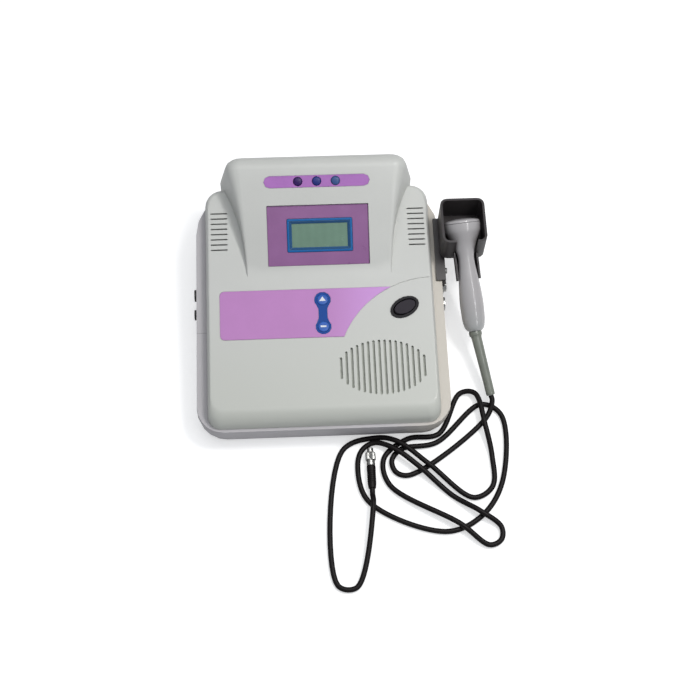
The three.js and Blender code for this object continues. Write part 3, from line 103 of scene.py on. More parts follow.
# Frames of the probe, its strain relief and the plug
probe_axis = heading(probe_yaw, probe_pitch)
probe_from = Vector((probe_x, probe_y, holder_rim - probe_sunk))
probe_to = probe_from + probe_axis * probe_length
probe = frame_along(probe_from, probe_axis)
relief_fall = math.asin((probe_to.z - cord_exit_height) / relief_length)
relief_axis = heading(probe_yaw + relief_swing, relief_fall)
relief_from = probe_to + probe_axis * (gap + relief_collar * math.sin(probe_axis.angle(relief_axis)))
relief_end = relief_from + relief_axis * relief_length
relief = frame_along(relief_from, relief_axis)
plug = console @ Matrix.Translation((plug_x, plug_tip, plug_height)) @ Matrix.Rotation(math.pi / 2, 4, "X")

# Camera, fitted to the photograph's outlines
camera_turn = -0.1
camera_rise = 1.15
camera_roll = 0.058
camera_target = Vector((25.335, 75.23, 50))
camera_distance = 1367
picture_pixels = 700
focal_pixels = 1370
centre_pixels = (347.833, 348.568)
sensor = 36
right = Vector((math.cos(camera_turn), math.sin(camera_turn), 0))
back = heading(camera_turn, -camera_rise)
up = back.cross(right)
lens = bpy.data.cameras.new("camera")
lens.sensor_width = sensor
lens.lens = sensor * focal_pixels / picture_pixels
lens.shift_x = (picture_pixels / 2 - centre_pixels[0]) / picture_pixels
lens.shift_y = -(picture_pixels / 2 - centre_pixels[1]) / picture_pixels
lens.clip_start = 0.05
lens.clip_end = 30
camera = bpy.data.objects.new("camera", lens)
bpy.context.scene.collection.objects.link(camera)
rolled_right = right * math.cos(camera_roll) + up * math.sin(camera_roll)
rolled_up = up * math.cos(camera_roll) - right * math.sin(camera_roll)
camera_place = Matrix.Translation(console @ (camera_target + back * camera_distance))
camera.matrix_world = camera_place @ Matrix((rolled_right, rolled_up, back)).transposed().to_4x4()
bpy.context.scene.camera = camera
bpy.context.scene.view_settings.view_transform = "Standard"


# Materials
def srgb(code):
    parts = [int(code[i:i + 2], 16) / 255 for i in (0, 2, 4)]
    return [p / 12.92 if p <= 0.04045 else ((p + 0.055) / 1.055) ** 2.4 for p in parts] + [1]


def toned(colour, gain, lift=0.0):
    """A colour code made lighter or darker."""
    return [min(1, c * gain + lift) for c in srgb(colour)[:3]] + [1]


def node_of(tree, kind, values=(), **settings):
    """A shader node with its settings, and with values on its sockets."""
    made = tree.nodes.new("ShaderNode" + kind)
    for name, value in settings.items():
        setattr(made, name, value)
    for socket, value in dict(values).items():
        made.inputs[socket].default_value = value
    return made


def mixed(tree, factor, tone, colour):
    """The tone, replaced by a plain colour as far as the factor says."""
    mix = node_of(tree, "Mix", data_type="RGBA")
    tree.links.new(factor, mix.inputs["Factor"])
    tree.links.new(tone, mix.inputs["A"])
    mix.inputs["B"].default_value = colour
    return mix.outputs["Result"]


def axes_of(tree, place):
    parts = node_of(tree, "SeparateXYZ")
    tree.links.new(place, parts.inputs["Vector"])
    return parts.outputs


def drifting(tree, place, colour, mottle, mottle_size):
    """The base colour, which drifts by the mottle over so many millimetres, and the drift itself."""
    drift = node_of(tree, "TexNoise", {"Scale": 1000 / mottle_size, "Detail": 5, "Roughness": 0.6})
    tree.links.new(place, drift.inputs["Vector"])
    ramp = node_of(tree, "ValToRGB")
    for element, at, gain in zip(ramp.color_ramp.elements, (0.3, 0.7), (1 - mottle, 1 + mottle)):
        element.position = at
        element.color = toned(colour, gain)
    tree.links.new(drift.outputs["Fac"], ramp.inputs["Fac"])
    return ramp.outputs["Color"], drift.outputs["Fac"]


def faded(tree, place, tone, axis, start, stop, colour):
    """The tone turns into another colour between two places along an axis, in metres."""
    along = node_of(tree, "MapRange", {"From Min": start, "From Max": stop}, interpolation_type="SMOOTHSTEP")
    tree.links.new(axes_of(tree, place)[axis], along.inputs["Value"])
    return mixed(tree, along.outputs["Result"], tone, srgb(colour))


def painted_rim_highlight(tree, tone, colour, edge):
    """The tone is painted lighter on sharp outer edges: a painted highlight on the rims."""
    shape = node_of(tree, "NewGeometry")
    pick = node_of(tree, "ValToRGB")
    pick.color_ramp.elements[0].position = 0.52
    pick.color_ramp.elements[1].position = 0.62
    tree.links.new(shape.outputs["Pointiness"], pick.inputs["Fac"])
    share = node_of(tree, "Math", {1: edge}, operation="MULTIPLY")
    tree.links.new(pick.outputs["Color"], share.inputs[0])
    return mixed(tree, share.outputs["Value"], tone, toned(colour, 1.5, 0.05))


def seamed(tree, place, tone, colour, seam):
    """A fine dark moulding line across the left side, at a place along Y in metres."""
    half_line = 0.0004
    axes = axes_of(tree, place)
    on_line = node_of(tree, "Math", {1: seam, 2: half_line}, operation="COMPARE")
    tree.links.new(axes["Y"], on_line.inputs[0])
    on_left = node_of(tree, "Math", {1: 0}, operation="LESS_THAN")
    tree.links.new(axes["X"], on_left.inputs[0])
    both = node_of(tree, "Math", operation="MULTIPLY")
    tree.links.new(on_line.outputs["Value"], both.inputs[0])
    tree.links.new(on_left.outputs["Value"], both.inputs[1])
    return mixed(tree, both.outputs["Value"], tone, toned(colour, 0.72))


def striped(tree, place, tone, pitch):
    """Faint upright stripes, as the lines of a liquid crystal display."""
    bands = node_of(tree, "TexWave", {"Scale": 1000 / pitch / 20}, bands_direction="X")
    faint = node_of(tree, "MapRange", {"To Min": 0.96, "To Max": 1.0})
    tree.links.new(place, bands.inputs["Vector"])
    tree.links.new(bands.outputs["Fac"], faint.inputs["Value"])
    shade = node_of(tree, "VectorMath", operation="SCALE")
    tree.links.new(tone, shade.inputs[0])
    tree.links.new(faint.outputs["Result"], shade.inputs["Scale"])
    return shade.outputs["Vector"]


def glossed(tree, drift, shader, rough):
    """The gloss drifts with the colour."""
    vary = 0.08
    smoothest = 0.02
    least = max(smoothest, rough - vary)
    most = min(1, rough + vary)
    spread = node_of(tree, "MapRange", {"To Min": least, "To Max": most})
    tree.links.new(drift, spread.inputs["Value"])
    tree.links.new(spread.outputs["Result"], shader.inputs["Roughness"])


def grained(tree, place, shader, grain, bump):
    """A fine grain, of a size in millimetres, breaks the surface."""
    fine = node_of(tree, "TexNoise", {"Scale": 1000 / grain, "Detail": 3})
    tree.links.new(place, fine.inputs["Vector"])
    raised = node_of(tree, "Bump", {"Strength": bump, "Distance": 0.0001})
    tree.links.new(fine.outputs["Fac"], raised.inputs["Height"])
    tree.links.new(raised.outputs["Normal"], shader.inputs["Normal"])


def material(name, colour, rough, mottle, mottle_size, grain, bump, metal=0.0, specular=0.5, coat=0.0,
             coat_rough=0.1, edge=0.0, stripes=0.0, fade=None, seam=None):
    """A moulded, printed or plated surface. Mottle, grain and stripe sizes are in millimetres."""
    made = bpy.data.materials.new(name)
    made.use_nodes = True
    tree = made.node_tree
    shader = tree.nodes["Principled BSDF"]
    shader.inputs["Metallic"].default_value = metal
    shader.inputs["Specular IOR Level"].default_value = specular
    shader.inputs["Coat Weight"].default_value = coat
    shader.inputs["Coat Roughness"].default_value = coat_rough
    place = node_of(tree, "TexCoord").outputs["Object"]
    tone, drift = drifting(tree, place, colour, mottle, mottle_size)
    if fade:
        tone = faded(tree, place, tone, *fade)
    # Sharp outer edges get a painted highlight, as strong as edge says.
    if edge:
        tone = painted_rim_highlight(tree, tone, colour, edge)
    if seam is not None:
        tone = seamed(tree, place, tone, colour, seam)
    if stripes:
        tone = striped(tree, place, tone, stripes)
    tree.links.new(tone, shader.inputs["Base Color"])
    glossed(tree, drift, shader, rough)
    grained(tree, place, shader, grain, bump)
    return made


body_plastic = material("body_plastic", "c8c9c5", 0.42, mottle=0.03, mottle_size=90, grain=0.7, bump=0.1,
                        coat=0.08, fade=("Y", 0.02, -0.13, "c2c4bd"))
# The tray's fade to a lighter, warmer colour on its right side is painted light: the warm light falling on
# that side.
base_plastic = material("base_plastic", "b9b6b9", 0.45, mottle=0.04, mottle_size=70, grain=0.8, bump=0.12,
                        fade=("X", 0.03, 0.1, "c8c2b8"), seam=-0.0331)
mauve_film = material("mauve_film", "8f5f92", 0.3, mottle=0.06, mottle_size=25, grain=0.5, bump=0.05,
                      coat=0.4)
lilac_film = material("lilac_film", "bb7fbe", 0.4, mottle=0.04, mottle_size=45, grain=0.5, bump=0.05,
                      specular=0.35, coat=0.15, fade=("X", -0.03, 0.04, "c992d6"))
strip_film = material("strip_film", "ab6dbb", 0.32, mottle=0.06, mottle_size=20, grain=0.5, bump=0.05,
                      coat=0.35)
blue_plastic = material("blue_plastic", "0660a2", 0.4, mottle=0.1, mottle_size=18, grain=0.5, bump=0.08,
                        specular=0.3, coat=0.1)
# The lip's darker blue is painted shade on the frame's inner slope down to the glass.
lip_blue_painted_shade = material("lip_blue_painted_shade", "1b4f7c", 0.35, mottle=0.1, mottle_size=14, grain=0.5, bump=0.08, coat=0.2)
display_glass = material("display_glass", "6d8c7a", 0.25, mottle=0.04, mottle_size=14, grain=0.4, bump=0.02,
                         coat=0.25, stripes=1.3)
key_blue = material("key_blue", "0f4796", 0.5, mottle=0.08, mottle_size=12, grain=0.5, bump=0.1, specular=0.2)
key_cap = material("key_cap", "2c5eb4", 0.45, mottle=0.08, mottle_size=8, grain=0.5, bump=0.1, specular=0.35)
# The black plastic's sharp edges carry a painted highlight (edge).
black_plastic = material("black_plastic", "353132", 0.36, mottle=0.12, mottle_size=20, grain=0.6, bump=0.12,
                         edge=0.5)
switch_plastic = material("switch_plastic", "302c33", 0.6, mottle=0.1, mottle_size=9, grain=0.4, bump=0.25,
                          specular=0.2)
bezel_plastic = material("bezel_plastic", "19171b", 0.5, mottle=0.1, mottle_size=9, grain=0.4, bump=0.2,
                         specular=0.2)
circuit_board = material("circuit_board", "1f7a45", 0.45, mottle=0.3, mottle_size=6, grain=1.2, bump=0.3)
bright_metal = material("bright_metal", "c9c8c4", 0.22, mottle=0.08, mottle_size=6, grain=0.3, bump=0.15,
                        metal=1.0)
probe_plastic = material("probe_plastic", "b1aeaf", 0.3, mottle=0.04, mottle_size=35, grain=0.6, bump=0.03,
                         coat=1.0, coat_rough=0.12, fade=("Y", -0.01, -0.06, "a9aeac"))
relief_rubber = material("relief_rubber", "7b7f76", 0.3, mottle=0.1, mottle_size=14, grain=0.6, bump=0.12,
                         specular=0.7)
cord_rubber = material("cord_rubber", "100b0c", 0.5, mottle=0.25, mottle_size=16, grain=0.6, bump=0.2,
                       specular=0.22)
foot_rubber = material("foot_rubber", "232323", 0.8, mottle=0.2, mottle_size=6, grain=0.8, bump=0.5)
cone_paper = material("cone_paper", "8f918b", 0.9, mottle=0.2, mottle_size=5, grain=0.5, bump=0.6)
grille_cloth = material("grille_cloth", "b2b5ad", 0.9, mottle=0.06, mottle_size=6, grain=0.35, bump=0.8,
                        specular=0.1)
battery_wrap = material("battery_wrap", "3a6ba0", 0.4, mottle=0.1, mottle_size=15, grain=0.6, bump=0.15)
print_white = material("print_white", "e3e6ea", 0.5, mottle=0.04, mottle_size=4, grain=0.3, bump=0.1)
lens_finishes = {
    side: material("lens_" + tint, colour, 0.4, mottle=0.15, mottle_size=4, grain=0.4, bump=0.02,
                   specular=0.3)
    for side, tint, colour in (("left", "violet", "34185c"), ("middle", "blue", "27307a"),
                               ("right", "steel", "3b5589"))
}


# Mesh tools
weld_distance = 2e-6  # in metres
sliver_length = 1e-6  # in metres


def piece(name, mesh, matrix, body, finish, angle, bevel=0.0, segments=2, replaces=()):
    """A new piece in place: smooth but for its hard edges, which may be broken by a small bevel."""
    if matrix is not None:
        mesh.transform(matrix)
    mesh.update()
    for polygon in mesh.polygons:
        polygon.use_smooth = True
    mesh.materials.clear()
    mesh.materials.append(finish)
    made = bpy.data.objects.new(name, mesh)
    bpy.context.scene.collection.objects.link(made)
    if bevel:
        edge = made.modifiers.new("edge", "BEVEL")
        edge.width = bevel * millimetre
        edge.segments = segments
        edge.limit_method = "ANGLE"
        edge.angle_limit = math.radians(angle)
        edge.use_clamp_overlap = True
        edge.harden_normals = False
        edge.miter_outer = "MITER_ARC"
    crisp = bmesh.new()
    crisp.from_mesh(mesh)
    for e in crisp.edges:
        if len(e.link_faces) == 2 and e.calc_face_angle(0) > math.radians(angle):
            e.smooth = bool(bevel)
    crisp.to_mesh(mesh)
    crisp.free()
    even = made.modifiers.new("even", "WEIGHTED_NORMAL")
    even.keep_sharp = True
    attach(made, body)
    if replaces:
        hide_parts(*replaces)
    return made


def mesh_of(name, verts, faces):
    mesh = bpy.data.meshes.new(name)
    mesh.from_pydata([tuple(v) for v in verts], [], faces)
    work = bmesh.new()
    work.from_mesh(mesh)
    bmesh.ops.recalc_face_normals(work, faces=work.faces)
    work.to_mesh(mesh)
    work.free()
    return mesh


def copy_of(node, flat):
    """The CAD node's own shape as one welded mesh. Faces within flat degrees of each other are merged."""
    work = bmesh.new()
    work.from_mesh(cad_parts[node].data)
    bmesh.ops.remove_doubles(work, verts=work.verts, dist=weld_distance)
    bmesh.ops.dissolve_degenerate(work, edges=work.edges, dist=sliver_length)
    if flat:
        bmesh.ops.dissolve_limit(work, angle_limit=math.radians(flat), verts=work.verts, edges=work.edges)
    mesh = bpy.data.meshes.new(node + "_finished")
    work.to_mesh(mesh)
    work.free()
    return mesh


def dress(node, body, finish, bevel, angle=30, segments=2, flat=0.4):
    """A CAD node's own shape with its edges broken and its material on."""
    mesh = copy_of(node, flat)
    return piece(node + "_skin", mesh, None, body, finish, angle, bevel, segments, (node,))


def turned(profile, sides, start=0.0, sweep=2 * math.pi):
    """A closed [radius, height] loop turned about Z, whole or in part."""
    whole = abs(sweep - 2 * math.pi) < 1e-9
    rings = sides if whole else sides + 1
    verts = []
    index = []
    for k in range(rings):
        angle = start + sweep * k / sides
        row = []
        for radius, height in profile:
            if radius < 1e-9 and k:
                row.append(index[0][len(row)])
                continue
            row.append(len(verts))
            verts.append((radius * math.cos(angle), radius * math.sin(angle), height))
        index.append(row)
    faces = []
    count = len(profile)
    for k in range(rings if whole else rings - 1):
        a, b = index[k], index[(k + 1) % rings]
        for i in range(count):
            j = (i + 1) % count
            loop = [a[i], a[j], b[j], b[i]]
            loop = [v for n, v in enumerate(loop) if v not in loop[:n]]
            if len(loop) > 2:
                faces.append(loop)
    if not whole:
        for row in (index[0], index[-1]):
            faces.append([v for n, v in enumerate(row) if v not in row[:n]])
    return mesh_of("turned", verts, faces)


def eased(points, steps=5):
    """More points on a smooth line through the given ones."""
    points = [Vector(p) for p in points]
    ends = [2 * points[0] - points[1], *points, 2 * points[-1] - points[-2]]
    line = []
    for i in range(1, len(ends) - 2):
        p = ends[i - 1:i + 3]
        knots = [0.0]
        for a, b in zip(p, p[1:]):
            knots.append(knots[-1] + max((b - a).length, 1e-6) ** 0.5)
        for k in range(steps):
            t = knots[1] + (knots[2] - knots[1]) * k / steps
            level = p
            for width in (1, 2):
                level = [a * ((knots[n + width] - t) / (knots[n + width] - knots[n]))
                         + b * ((t - knots[n]) / (knots[n + width] - knots[n]))
                         for n, (a, b) in enumerate(zip(level, level[1:]))]
            line.append(level[0].lerp(level[1], (t - knots[1]) / (knots[2] - knots[1])))
    return line + [points[-1]]


def tube(points, radius, sides=14):
    """A round tube along the points, closed at both ends."""
    verts = []
    faces = []
    side = (points[1] - points[0]).orthogonal()
    for i, point in enumerate(points):
        ahead = (points[min(i + 1, len(points) - 1)] - points[max(i - 1, 0)]).normalized()
        side = (side - ahead * side.dot(ahead)).normalized()
        other = ahead.cross(side)
        for k in range(sides):
            angle = 2 * math.pi * k / sides
            verts.append(point + (side * math.cos(angle) + other * math.sin(angle)) * radius)
    for i in range(len(points) - 1):
        for k in range(sides):
            a = i * sides + k
            b = i * sides + (k + 1) % sides
            faces.append((a, b, b + sides, a + sides))
    faces.append(tuple(range(sides))[::-1])
    faces.append(tuple(range((len(points) - 1) * sides, len(points) * sides)))
    return mesh_of("tube", verts, faces)


def banded(rings, capped=False):
    """A band over [outline, height] rings of equal count. The last joins the first, or both are capped."""
    count = len(rings[0][0])
    verts = [(x, y, z) for outline, z in rings for x, y in outline]
    faces = []
    if capped:
        faces.append(tuple(range(count))[::-1])
        faces.append(tuple(range((len(rings) - 1) * count, len(rings) * count)))
    for r in range(len(rings) - capped):
        a = r * count
        b = ((r + 1) % len(rings)) * count
        faces += [(a + i, a + (i + 1) % count, b + (i + 1) % count, b + i) for i in range(count)]
    return mesh_of("band", verts, faces)


def rounded(box, radius, steps=4):
    """Outline of a rounded rectangle, its box given as left, right, low and high."""
    left, right, low, high = box
    corners = ((right - radius, low + radius, -90), (right - radius, high - radius, 0),
               (left + radius, high - radius, 90), (left + radius, low + radius, 180))
    outline = []
    for x, y, start in corners:
        for i in range(steps + 1):
            angle = math.radians(start + 90 * i / steps)
            outline.append((x + radius * math.cos(angle), y + radius * math.sin(angle)))
    return outline


def grown(box, by):
    left, right, low, high = box
    return left - by, right + by, low - by, high + by


def oval(x, y, half_x, half_y, count=48):
    angles = [2 * math.pi * i / count for i in range(count)]
    return [(x + half_x * math.cos(t), y + half_y * math.sin(t)) for t in angles]


# Cord, on the same route as its solid, in metres in the console's frame
cord_radius = 0.0027
cord_rest = 0.00275
cord_route = [
    (0.1637, 0.0133, 0.00470), (0.0827, -0.0438, 0.00281), (0.0693, -0.0403, 0.00281),
    (0.0656, -0.0282, 0.00340), (0.0756, -0.0163, 0.00321), (0.1115, -0.0105, 0.00289),
    (0.1598, 0.0290, 0.00281), (0.1795, 0.0173, 0.00281), (0.1748, -0.0533, 0.00281),
    (0.1506, -0.0890, 0.00281), (0.1139, -0.1032, 0.00270), (0.0402, -0.0695, 0.00281),
    (0.0313, -0.0319, 0.00300), (0.0369, -0.0153, 0.00311), (0.0493, -0.0092, 0.00510),
    (0.0677, -0.0170, 0.00961), (0.0917, -0.0368, 0.00940), (0.1237, -0.0666, 0.00289),
    (0.1489, -0.0853, 0.00910), (0.1690, -0.1006, 0.00381), (0.1681, -0.1131, 0.00300),
    (0.1561, -0.1185, 0.00370), (0.1285, -0.0975, 0.00899), (0.0620, -0.0531, 0.00270),
    (0.0579, -0.0254, 0.00281), (0.0827, -0.0056, 0.00281), (0.1146, -0.0014, 0.00321),
    (0.1394, 0.0416, 0.00340), (0.1539, 0.0400, 0.00770), (0.1615, 0.0036, 0.01050),
    (0.1666, -0.0277, 0.00289), (0.1642, -0.0587, 0.00281), (0.1444, -0.0695, 0.00281),
    (0.1015, -0.0342, 0.00880), (0.0712, -0.0091, 0.00861), (0.0496, -0.0034, 0.00321),
    (0.0166, -0.0157, 0.00281), (0.0063, -0.1528, 0.00259), (0.0247, -0.1551, 0.00281),
    (0.0445, -0.0739, 0.00891),
]
stub = 5.4  # it leaves its relief and its plug straight over this length
tail = Vector((plug_x, plug_tip - plug_length - gap, plug_height))
cord_points = [relief_end + relief_axis * gap, relief_end + relief_axis * (gap + stub)]
cord_points += [Vector(p) / millimetre for p in cord_route]
cord_points += [tail - Vector((0, stub, 0)), tail]
lowest = cord_rest / millimetre
cord_line = [Vector((p.x, p.y, max(p.z, lowest))) for p in eased(cord_points, 14)]
cord = piece("cord_jacket", tube(cord_line, cord_radius / millimetre), console, "console",
             cord_rubber, 60, replaces=("probe_cord",))

# Housings
dress("top_cover", "console", body_plastic, 0.3)
dress("base_tray", "console", base_plastic, 0.4)
dress("probe_holder", "console", black_plastic, 0.8, segments=3)
dress("holder_bracket", "console", black_plastic, 0.4)

# Display on the hood. Its sections are [inset from the blue frame's edge, height over the hood's face]
view_width = 56.4
view_height = 24
lcd_border = 4.8
lcd_aside = 1.6
overlay_side = 18.5
overlay_rise = 13.8
window_low = 10.2
window_round = 0.6
display_round = 1.5
plate_back = -3.3
overlay_face = -2.1
overlay_edge = 0.1
half_width = view_width / 2 + lcd_border
half_height = view_height / 2 + lcd_border
display_low = window_low + overlay_rise
display = (lcd_aside - half_width, lcd_aside + half_width, display_low, display_low + 2 * half_height)
window_half = half_width + overlay_side
window = grown((-window_half, window_half, window_low, display[3] + overlay_rise), -gap)
overlay = [
    (rounded(window, window_round), plate_back),
    (rounded(window, window_round), overlay_face - overlay_edge),
    (rounded(grown(window, -overlay_edge), window_round - overlay_edge), overlay_face),
    (rounded(grown(display, gap + overlay_edge), display_round + overlay_edge), overlay_face),
    (rounded(grown(display, gap), display_round), overlay_face - overlay_edge),
    (rounded(grown(display, gap), display_round), plate_back),
]
rim_section = [(0, plate_back), (0, -2.0), (0.15, -1.68), (0.5, -1.5), (1.9, -1.5), (2.2, -1.62),
               (2.3, plate_back)]
lip_section = [(2.4, plate_back), (2.4, -1.75), (2.7, -1.72), (4.5, -2.9), (lcd_border, -3.0),
               (lcd_border, plate_back)]


def framed(section):
    """A frame of the given section round the display, its corners sharper towards the glass."""
    rings = [(grown(display, -inset), max(0.4, 1.2 - inset / 3), z) for inset, z in section]
    return banded([(rounded(box, radius), z) for box, radius, z in rings])


piece("display_overlay_skin", banded(overlay), hood, "console", mauve_film, 30,
      replaces=("display_overlay",))
piece("lcd_frame_skin", framed(rim_section), hood, "console", blue_plastic, 30,
      replaces=("lcd_frame",))
# The frame's inner slope, its darker blue being painted shade.
piece("lcd_frame_lip", framed(lip_section), hood, "console", lip_blue_painted_shade, 30)
dress("lcd_glass", "console", display_glass, 0.2, flat=0)

# Printed films, keys and switch
dress("indicator_strip", "console", strip_film, 0, flat=0)
dress("front_label", "console", lilac_film, 0, flat=0)
dress("key_backing", "console", key_blue, 0, flat=0)
for way in ("up", "down"):
    dress(f"volume_{way}_key", f"volume_{way}_key", key_cap, 0.1, angle=40)
dress("power_switch_bezel", "console", bezel_plastic, 0.3)
dress("power_rocker", "power_rocker", switch_plastic, 0.5)
for side, finish in lens_finishes.items():
    dress(f"indicator_lens_{side}", "console", finish, 0, angle=60)

# Sockets, feet and screws
for name in ("probe_socket", "earphone_socket"):
    dress(name, "console", bright_metal, 0.2)
for name in ("charger_socket", "data_socket"):
    dress(name, "console", black_plastic, 0.2)
for i in (1, 2, 3, 4):
    dress(f"rubber_foot_{i}", "console", foot_rubber, 0.3)
    dress(f"case_screw_{i}", "console", bright_metal, 0.2)
for i in (1, 2):
    dress(f"bracket_screw_{i}", "console", bright_metal, 0.2)

# Dust cloth stretched behind the grille's slots, under the deck's wall
grille_x = 59
grille_y = 52
cloth_half_x = 48
cloth_half_y = 31
cloth_low = -3.2
cloth_high = -3.05
cloth_edge = oval(grille_x, grille_y, cloth_half_x, cloth_half_y)
piece("speaker_cloth", banded([(cloth_edge, cloth_low), (cloth_edge, cloth_high)], True), deck, "console",
      grille_cloth, 30)

# Marks on the keys, printed over their tops
key_x = 1.8
key_up_y = 124.6
key_down_y = 96
mark_low = 0.9
mark_high = 1.35
triangle = [(-3.3, -1.6), (3.3, -1.6), (0, 3.2)]
bar = [(-2.9, -0.9), (2.9, -0.9), (2.9, 0.9), (-2.9, 0.9)]
for way, outline, key_y in (("up", triangle, key_up_y), ("down", bar, key_down_y)):
    mark = banded([(outline, mark_low), (outline, mark_high)], True)
    place = deck @ Matrix.Translation((key_x, key_y, 0))
    piece(f"volume_{way}_mark", mark, place, f"volume_{way}_key", print_white, 30)

# Probe. Its shares are [radius towards the wider size, height along the stretch]
head_shares = [(1, 0), (1, 0.1), (0.93, 0.24), (0.66, 0.42), (0.34, 0.62), (0.1, 0.84), (0, 1)]
grip_shares = [(0.08, 0.16), (0.42, 0.38), (0.8, 0.66), (1, 0.9), (1, 1)]
tail_shares = [(0.97, 0.25), (0.85, 0.6), (0.5, 0.88), (0, 1)]


def probe_profile(inset, low, high):
    stretches = (
        (head_shares, neck_radius, head_radius, low, neck_at),
        (grip_shares, neck_radius, grip_radius, neck_at, grip_at),
        (tail_shares, tail_radius, grip_radius, grip_at, high),
    )
    points = []
    for shares, narrow, wide, start, stop in stretches:
        points += [(narrow + (wide - narrow) * r - inset, start + (stop - start) * h, 0) for r, h in shares]
    return [(p.x, p.y) for p in eased(points)]


shell_low = face_thick + gap
outer = probe_profile(0, shell_low, probe_length)
inner = probe_profile(probe_wall, shell_low + probe_wall, probe_length - probe_wall)
for name, start, shift in (("upper", 0, gap / 2), ("lower", math.pi, -gap / 2)):
    shell = turned(outer + inner[::-1], 28, start, math.pi)
    piece(f"probe_shell_{name}_skin", shell, probe @ Matrix.Translation((0, shift, 0)), "probe",
          probe_plastic, 45, 0.25, replaces=(f"probe_shell_{name}",))

# The probe's face and its strain relief, as [radius, height]
face_section = [(0, -2.6), (5, -2.5), (10, -2.1), (14.5, -1.2), (16.9, -0.3), (17.9, 0.6), (18.1, 1.4),
                (18.1, face_thick), (0, face_thick)]
piece("probe_face_skin", turned(face_section, 56), probe, "probe", probe_plastic, 40,
      replaces=("probe_face",))
sleeve_section = [(0, -3), (4.4, -3), (5.7, -2.3), (6.4, -0.9), (relief_collar, 0.6), (relief_collar, 2.9),
                  (6.3, 3.4), (5.6, 4.2), (5.2, 6), (4.8, 35), (4.45, 64.6), (4.2, 65.7),
                  (3.9, relief_length), (0, relief_length)]
piece("probe_strain_relief_skin", turned(sleeve_section, 32), relief, "probe", relief_rubber,
      40, replaces=("probe_strain_relief",))

# Plug. Its sections are [radius, distance from its tip], and the ring's third value is 1 where it is cut
core_section = [(0, 0), (2.6, 0), (3.0, 0.3), (3.1, 0.8), (3.1, 3.8), (3.6, 4.1), (3.6, 13.3), (4.0, 13.3),
                (4.2, 13.6), (4.2, 14.6), (3.9, 14.9), (3.9, 15.5), (4.2, 15.8), (4.2, 18.1), (4.0, 18.4),
                (0, 18.4)]
plug_shell = piece("plug_body_skin", turned(core_section, 40), plug, "console", bright_metal,
                   30, replaces=("plug_body",))
knurls = 36
knurl_depth = 0.28
ring_section = [(3.9, 5.0, 0), (4.7, 5.0, 0), (5.0, 5.4, 1), (5.1, 6.0, 1), (5.1, 12.0, 1), (5.0, 12.6, 1),
                (4.7, 13.0, 0), (3.9, 13.0, 0)]


def knurled(radius, cut):
    """A circle whose every other point lies deeper where the ring is cut."""
    outline = []
    for k in range(2 * knurls):
        angle = math.pi * k / knurls
        reach = radius - (knurl_depth if cut and k % 2 else 0)
        outline.append((reach * math.cos(angle), reach * math.sin(angle)))
    return outline


ring = banded([(knurled(radius, cut), z) for radius, z, cut in ring_section])
plug_ring = piece("plug_ring_skin", ring, plug, "console", bright_metal, 25,
                  replaces=("plug_ring",))
boot_radius = 4.4
groove_radius = 4.0
grooves = 6
groove_pitch = 2.2
first_groove = 24.5
boot_section = [(0, 18.7), (4.1, 18.7), (boot_radius, 19.1), (4.45, 19.8), (4.45, 24)]
for i in range(grooves):
    low = first_groove + i * groove_pitch
    boot_section += [(boot_radius, low), (groove_radius, low + 0.2), (groove_radius, low + 0.9),
                     (boot_radius, low + 1.1)]
boot_section += [(4.2, 38), (3.8, 41.4), (3.6, 42), (3.3, plug_length), (0, plug_length)]
plug_boot = piece("plug_boot_skin", turned(boot_section, 36), plug, "console", cord_rubber, 30,
                  replaces=("plug_boot",))

# CAD nodes that keep their own shape
kept = {
    circuit_board: ("key_board", "display_board", "indicator_board", "probe_board", "main_board",
                    "power_supply"),
    bright_metal: ("speaker_frame", "crystal_disc", "ultrasound_shield"),
    cone_paper: ("speaker_cone",),
    battery_wrap: ("battery_pack",),
}
for finish, names in kept.items():
    for name in names:
        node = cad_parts[name]
        node.data.materials.clear()
        node.data.materials.append(finish)


# Stage, in metres in the row frame
def studio_world():
    """A dim cool sky that the camera sees as white."""
    world = bpy.data.worlds.new("studio")
    bpy.context.scene.world = world
    world.use_nodes = True
    tree = world.node_tree
    sky = tree.nodes["Background"]
    sky.inputs["Color"].default_value = (0.86, 0.9, 0.96, 1)
    sky.inputs["Strength"].default_value = 0.33
    seen = node_of(tree, "Background", {"Color": (1, 1, 1, 1)})
    rays = node_of(tree, "LightPath")
    choose = node_of(tree, "MixShader")
    tree.links.new(rays.outputs["Is Camera Ray"], choose.inputs["Fac"])
    tree.links.new(sky.outputs["Background"], choose.inputs[1])
    tree.links.new(seen.outputs["Background"], choose.inputs[2])
    tree.links.new(choose.outputs["Shader"], tree.nodes["World Output"].inputs["Surface"])


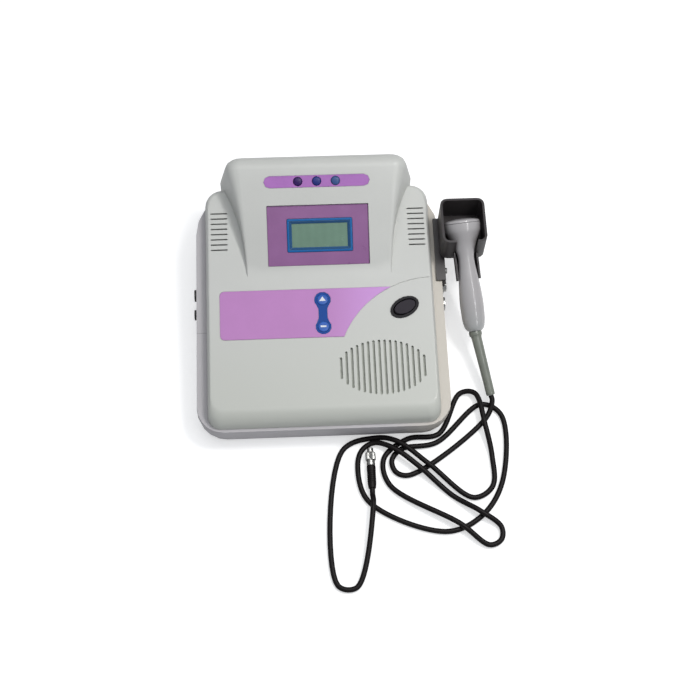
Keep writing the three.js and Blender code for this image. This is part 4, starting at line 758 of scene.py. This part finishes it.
def paper_floor(half=4):
    """A pale floor that keeps the shadows and fades to white far away."""
    corners = [(-half, -half, 0), (half, -half, 0), (half, half, 0), (-half, half, 0)]
    floor = bpy.data.objects.new("floor", mesh_of("floor", corners, [(0, 1, 2, 3)]))
    bpy.context.scene.collection.objects.link(floor)
    paper = bpy.data.materials.new("floor_paper")
    paper.use_nodes = True
    tree = paper.node_tree
    shader = tree.nodes["Principled BSDF"]
    shader.inputs["Base Color"].default_value = (0.8, 0.8, 0.8, 1)
    shader.inputs["Roughness"].default_value = 0.9
    shader.inputs["Specular IOR Level"].default_value = 0.1
    away = node_of(tree, "VectorMath", operation="LENGTH")
    tree.links.new(node_of(tree, "TexCoord").outputs["Object"], away.inputs[0])
    haze = node_of(tree, "MapRange", {"From Min": 0.7, "From Max": 2.2, "To Min": 0.5, "To Max": 1.0})
    tree.links.new(away.outputs["Value"], haze.inputs["Value"])
    strength = node_of(tree, "Math", operation="MULTIPLY")
    tree.links.new(haze.outputs["Result"], strength.inputs[0])
    tree.links.new(node_of(tree, "LightPath").outputs["Is Camera Ray"], strength.inputs[1])
    lift = node_of(tree, "Emission", {"Color": (1, 1, 1, 1)})
    tree.links.new(strength.outputs["Value"], lift.inputs["Strength"])
    both = node_of(tree, "AddShader")
    tree.links.new(shader.outputs["BSDF"], both.inputs[0])
    tree.links.new(lift.outputs["Emission"], both.inputs[1])
    tree.links.new(both.outputs["Shader"], tree.nodes["Material Output"].inputs["Surface"])
    floor.data.materials.append(paper)


def light(name, place, aim, size, watts, colour, tall=0.0, along=(0, 0, 1)):
    """A round soft light, or a strip of a given height that runs along a direction."""
    lamp = bpy.data.lights.new(name, "AREA")
    lamp.shape = "RECTANGLE" if tall else "DISK"
    lamp.size = size
    lamp.size_y = tall or size
    lamp.energy = watts
    lamp.color = colour
    made = bpy.data.objects.new(name, lamp)
    bpy.context.scene.collection.objects.link(made)
    behind = (Vector(place) - Vector(aim)).normalized()
    across = Vector(along).cross(behind).normalized()
    turn = Matrix((across, behind.cross(across), behind)).transposed().to_4x4()
    made.matrix_world = Matrix.Translation(place) @ turn


studio_world()
paper_floor()
light("key", place=(0.62, 0.12, 1.6), aim=(0, 0, 0.05), size=0.42, watts=10.2, colour=(1, 0.985, 0.96))
light("top", place=(-0.1, 0.22, 1.9), aim=(0, 0, 0), size=1.4, watts=8.4, colour=(0.98, 0.99, 1))
# A narrow strip along the probe draws the bright ridge on its back
light("front", place=(0.8, -0.6, 1.3), aim=(0.15, -0.04, 0.05), size=0.07, watts=4.2, colour=(0.98, 0.99, 1),
      tall=1.7, along=(0.06, -0.85, -0.53))
